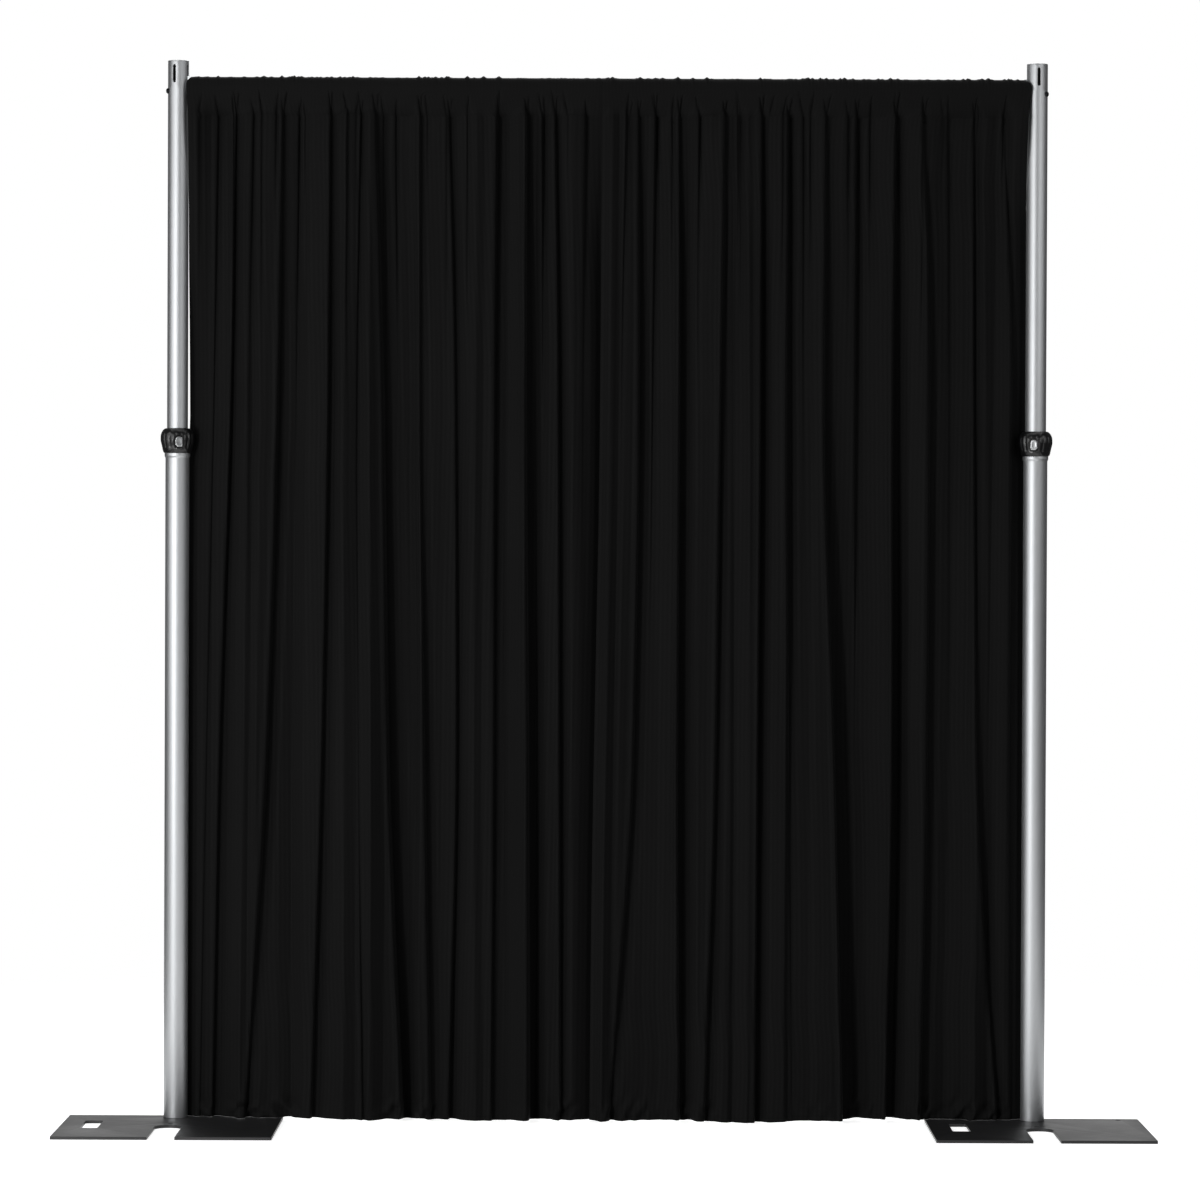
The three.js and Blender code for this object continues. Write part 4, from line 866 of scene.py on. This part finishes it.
def reliefAt(side, x, height, table):
    # Forward (+) or back (-) of the body cloth in mm, for rows of x at each height
    named, short, creases, levels, _ = table
    down = ((drape["seam"] - height) / drape["seam"])[:, None]
    opened = smoothStep(down, 0.0, section["opensOver"])
    closed = section["gathered"]
    relief = np.zeros_like(x)
    for line in named:
        place, depth = (smoothThrough(foldLevels[::-1], values, height)[:, None]
                        for values in (line[3::-1], line[7:3:-1]))
        relief -= depth * fold(x, place, line[8] * (closed + (1 - closed) * opened), section["drop"])
    for spot, depth, fade, width in short:
        share = smoothStep(height, fade, drape["seam"])[:, None] ** 0.8
        relief -= depth * share * fold(x, spot, closed * width, section["shortDrop"])
    seed = tucks["seed"][side]
    size, length, second, shorter, turn = facets["drift"]
    drift = size * down * np.sin(creases / length + seed) + second * np.sin(creases / shorter + turn * down)
    for row in range(len(relief)):  # straight facets between the creases, which drift a little on their way down
        relief[row] += np.interp(x[row], creases + drift[row], levels)
    return relief + opened * sum(size * np.sin(x / length + lean * down + turns * seed)
                                 for size, length, lean, turns in sways)


def crumple(x, height, seed):
    # Small dents where the hem meets the floor: a few waves in each direction, multiplied
    random = np.random.default_rng(seed)
    total = np.zeros(np.broadcast(x, height).shape)
    bend, over = dents["bend"]
    for _ in range(dents["waves"]):
        length, rise = random.uniform(*dents["length"]), random.uniform(*dents["rise"])
        a, b, c = random.uniform(0, whole, 3)
        total += (np.sin(whole * x / length + a + bend * np.sin(height / over + c))
                  * np.sin(whole * height / rise + b))
    length, shorter, share = dents["patches"]
    patches = dents["elsewhere"] * smoothStep(
        np.sin(x / length + seed) + share * np.sin(x / shorter + 2 * seed), *dents["edge"])
    for centre, half in crumples:
        patches = np.maximum(patches, np.exp(-((x - centre) / half) ** 4))
    limit, (middle, reach) = dents["limit"], dents["height"]
    return limit * np.tanh(total / limit) * patches * np.exp(-((height - middle) / reach) ** 2)


def evenAlong(x, relief, scale=None):
    # Columns evenly spaced along each row of cloth, each row scaled until it is as long as the flat
    # cloth is wide: length = sum of sqrt(dx^2 + k^2 drelief^2)
    flat, rows, scales = drape["flatWidth"] / mm, [], []
    for line, depth in zip(x, relief):
        dx, dd = np.diff(line), np.diff(depth)
        low, high, k = 0.0, 5.0, scale
        for _ in range(24 if scale is None else 0):
            k = (low + high) / 2
            low, high = (low, k) if np.hypot(dx, k * dd).sum() > flat else (k, high)
        along = np.concatenate([[0], np.cumsum(np.hypot(dx, k * dd))])
        even = np.linspace(0, along[-1], drape["columns"])
        rows.append((np.interp(even, along, line), np.interp(even, along, k * depth)))
        scales.append(k)
    return *np.array(rows).transpose(1, 0, 2), np.array(scales)


def pocketTucks(x, climb, table):
    # Each fold splits at the seam into thin tucks that lean apart as they climb and die out under the bar
    named, short, _, _, random = table
    (share, least), (narrow, widened) = tucks["ofFold"], tucks["halfWidth"]
    relief = np.zeros((len(climb), len(x)))
    rise = climb[:, None]
    for place, depth in [(line[0], line[4]) for line in named] + [(line[0], line[1] + 3) for line in short]:
        first = random.choice([-1, 1])
        for direction in ([-1, 1] if depth > tucks["splitFrom"] else [first]):
            lean = direction * random.uniform(*tucks["lean"])
            top = random.uniform(*tucks["top"])
            left = np.clip((top - rise) / top, 0, 1)
            size = left ** 0.45 * random.uniform(*tucks["size"])
            t = (x - place - lean * rise ** 1.2) / (narrow + widened * left)
            relief = np.minimum(relief, -(share * depth + least) * size * np.exp(-np.abs(t) ** 1.5))
    return relief


def ruffleAt(x, random):
    # Small bumps of gathered cloth along the top of the bar, in loose groups
    bumps = np.zeros_like(x)
    (low, high), apart = ruffles["height"], ruffles["apart"]
    length, shorter, share, edge = ruffles["groups"]
    for _ in range(ruffles["count"]):
        place = random.uniform(x.min(), x.max())
        group = apart + (1 - apart) * (math.sin(place / length) + share * math.sin(place / shorter) > edge)
        height = group * (low + (high - low) * random.uniform() ** 1.8)
        bumps = np.maximum(bumps, height * np.exp(-((x - place) / random.uniform(*ruffles["width"])) ** 2))
    return bumps


def makePanel(side):
    # Rows run from the hem up the body to the seam, up the front of the pocket, over the bar and down
    # its back to the seam. Columns are the cloth's own upright threads
    table, isLeft, seed = foldTable(side), side == "left", tucks["seed"][side]
    columns, seam, lowest = drape["columns"], drape["seam"], hem["onPlates"]
    axisX = abs(post[side][0])
    edgeHeights, edgeGaps, edgeDepths = np.array(outerEdge[side]).T

    heights = np.concatenate([lowest + np.array(drape["nearHem"]),
                              np.linspace(lowest + drape["nearHem"][-1], seam, drape["bodyRows"] + 1)[1:]])
    overlap, behind = (low + (top - low) * smoothStep(heights, start, seam) if isLeft
                       else np.full(len(heights), flat)
                       for low, top, start, flat in (drape["overlap"], drape["behind"]))
    inner = smoothThrough(*np.array(meeting).T, heights) + overlap
    outer = sides[side] * (axisX - smoothThrough(edgeHeights, edgeGaps, heights))
    left, right = (outer, inner) if isLeft else (inner, outer)
    dense = np.linspace(0, 1, 3000)
    x = left[:, None] + (right - left)[:, None] * dense
    window = np.hanning(11)
    relief = np.stack([np.convolve(np.pad(row, 5, "edge"), window / window.sum(), "valid")
                       for row in reliefAt(side, x, heights, table)])
    fromOuter = dense if isLeft else 1 - dense
    calm = smoothStep(fromOuter, 0.0, drape["calm"][0]) * smoothStep(1 - fromOuter, 0.0, drape["calm"][1])
    relief = (relief - relief.mean(axis=1, keepdims=True)) * calm
    bodyX, bodyDepth, scales = evenAlong(x, relief)

    # the body's edges go back behind the upright and the other panel, and its hem rests on plates and floor
    even = np.linspace(0, 1, columns)
    outerShare = 1 - smoothStep(even if isLeft else 1 - even, 0.0, drape["bent"][0])
    innerShare = 1 - smoothStep(1 - even if isLeft else even, 0.0, drape["bent"][1])
    edgeBack = smoothThrough(edgeHeights, edgeDepths, heights)
    bodyY = -bodyDepth + edgeBack[:, None] * outerShare + behind[:, None] * innerShare
    onPlate = smoothStep(np.abs(bodyX[0]), *hem["plates"])
    (size, length), (second, longer) = hem["waves"]
    waves = size * np.sin(bodyX[0] / length + seed) + second * np.sin(bodyX[0] / longer + 1.7)
    hemLine = hem["between"] + (lowest - hem["between"]) * onPlate + (1 - onPlate) * waves
    dip = 0.1 * (1 - onPlate) * np.maximum(-bodyDepth, 0)
    low = (1 - smoothStep(heights, lowest, hem["reach"]))[:, None]
    bodyZ = heights[:, None] + (np.maximum(hemLine - dip, hem["least"]) - lowest) * low
    back, aside = (size * crumple(bodyX, heights[:, None], seed + later) * (1 - outerShare)
                   for size, later in zip(hem["crumpled"], (0, 5)))
    bodyY = bodyY + back
    bodyX = bodyX + aside * (1 - innerShare)

    # the pocket, from the seam up the front, over the bar and down its back
    near = bar["outerRadius"] + drape["clearance"] + drape["thick"] / 2
    climb = np.linspace(0, 1, drape["frontRows"] + 1)[1:]
    shared = (1 - climb[:, None]) ** 5
    tucked = pocketTucks(x[-1], climb, table) * calm * (1 - shared) + scales[-1] * relief[-1] * shared
    pocketX, relief, _ = evenAlong(np.repeat(x[-1:], len(climb), axis=0), tucked, scale=1)
    seamY = np.stack([np.interp(row, bodyX[-1], bodyY[-1] + bodyDepth[-1]) for row in pocketX])
    ends = 0 if isLeft else pocket["lap"] * innerShare
    ruffle = ruffleAt(pocketX[-1], table[-1])
    tangent = math.radians(pocket["tangent"])  # where the front layer leaves the bar
    meetZ, meetY = barZ + near * math.sin(tangent), near * math.cos(tangent)
    front = meetY + pocket["slack"] + ends
    rows = []
    for t, line, level, base in zip(climb, relief, seam + climb * (meetZ - seam), seamY):
        bulge = math.sin(t * quarter) ** 1.2
        chord = math.sqrt(max(near ** 2 - (level - barZ) ** 2, 0)) + 0.2 + ends
        y = base * (1 - bulge) - front * bulge - line
        rows.append((np.minimum(y, -chord) if level > barZ - near else y, level))
    last = np.maximum(pocket["slack"] - relief[-1], 0.2) + ends
    for angle in np.linspace(tangent, math.pi - tangent, drape["overRows"] + 1)[1:]:
        level = max(math.sin(angle), 0)
        r = near + last * (1 - 0.75 * level) + ruffle * level ** 1.5
        rows.append((-r * math.cos(angle), barZ + r * math.sin(angle)))
    seamDepth = np.interp(pocketX[-1], bodyX[-1], bodyDepth[-1])
    for t in np.linspace(0, 1, drape["backRows"] + 1)[1:]:
        bulge = math.cos(t * quarter) ** 1.2
        y = (seamY[-1] - seamDepth + pocket["backSlack"]) * (1 - bulge) + (meetY + last) * bulge
        rows.append((y, meetZ + t * (seam + 1 - meetZ)))
    tail = np.interp(pocketX[-1], bodyX[-1], bodyY[-3] * 0.4 + bodyY[-1] * 0.6)
    rows.append((tail + pocket["tailOut"], seam - drape["seamTail"]))
    pocketY, pocketZ = np.stack([stacked(*row) for row in rows]).transpose(2, 0, 1)
    onFront = (np.arange(len(rows)) < drape["frontRows"] + drape["overRows"] // 2)[:, None]
    topHeight, topGap = edgeHeights[-1], edgeGaps[-1]
    gap = np.where(onFront, smoothThrough(edgeHeights, edgeGaps, np.clip(pocketZ, seam, topHeight)), topGap)
    reach = sides[side] * (smoothThrough(edgeHeights, edgeGaps, seam) - gap)
    pocketX = np.concatenate([pocketX, np.repeat(pocketX[-1:], len(rows) - len(pocketX), axis=0)])
    pocketX = pocketX + reach * outerShare ** 2
    points = stacked(*(np.concatenate(pair) for pair in ((bodyX, pocketX), (bodyY + barY, pocketY + barY),
                                                         (bodyZ, pocketZ)))) * mm

    # UV: how far along the flat cloth each point lies, in metres from its left edge and from its hem
    faces = gridFaces(len(points), columns, wrapColumns=False).tolist()
    piece = addMesh(f"drape_{side}", points, faces, skins["black_cloth"])
    steps = np.linalg.norm(np.diff(points.mean(axis=1)[:, 1:], axis=0), axis=1)
    climbed = np.concatenate([[0], np.cumsum(steps)])
    flatPlace = stacked(even * drape["flatWidth"], climbed[:, None]).reshape(-1, 2)
    corner = np.empty(len(piece.data.loops), np.int32)
    piece.data.loops.foreach_get("vertex_index", corner)
    layer = piece.data.uv_layers.new(name="cloth")
    layer.data.foreach_set("uv", flatPlace[corner].astype(np.float32).ravel())
    piece.data.shade_smooth()
    solid = piece.modifiers.new("thickness", "SOLIDIFY")
    solid.thickness, solid.offset = drape["thick"] * mm, 0
    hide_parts(f"drape_panel_{side}")
    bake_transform(piece)
    print(f"cloth: {side} panel, {len(points)} by {columns} points, {climbed[-1]:.3f} m long, fold scale "
          f"{scales.min():.2f} to {scales.max():.2f}, y {points[..., 1].min():.4f} to {points[..., 1].max():.4f}")


for side in sides:
    makePanel(side)
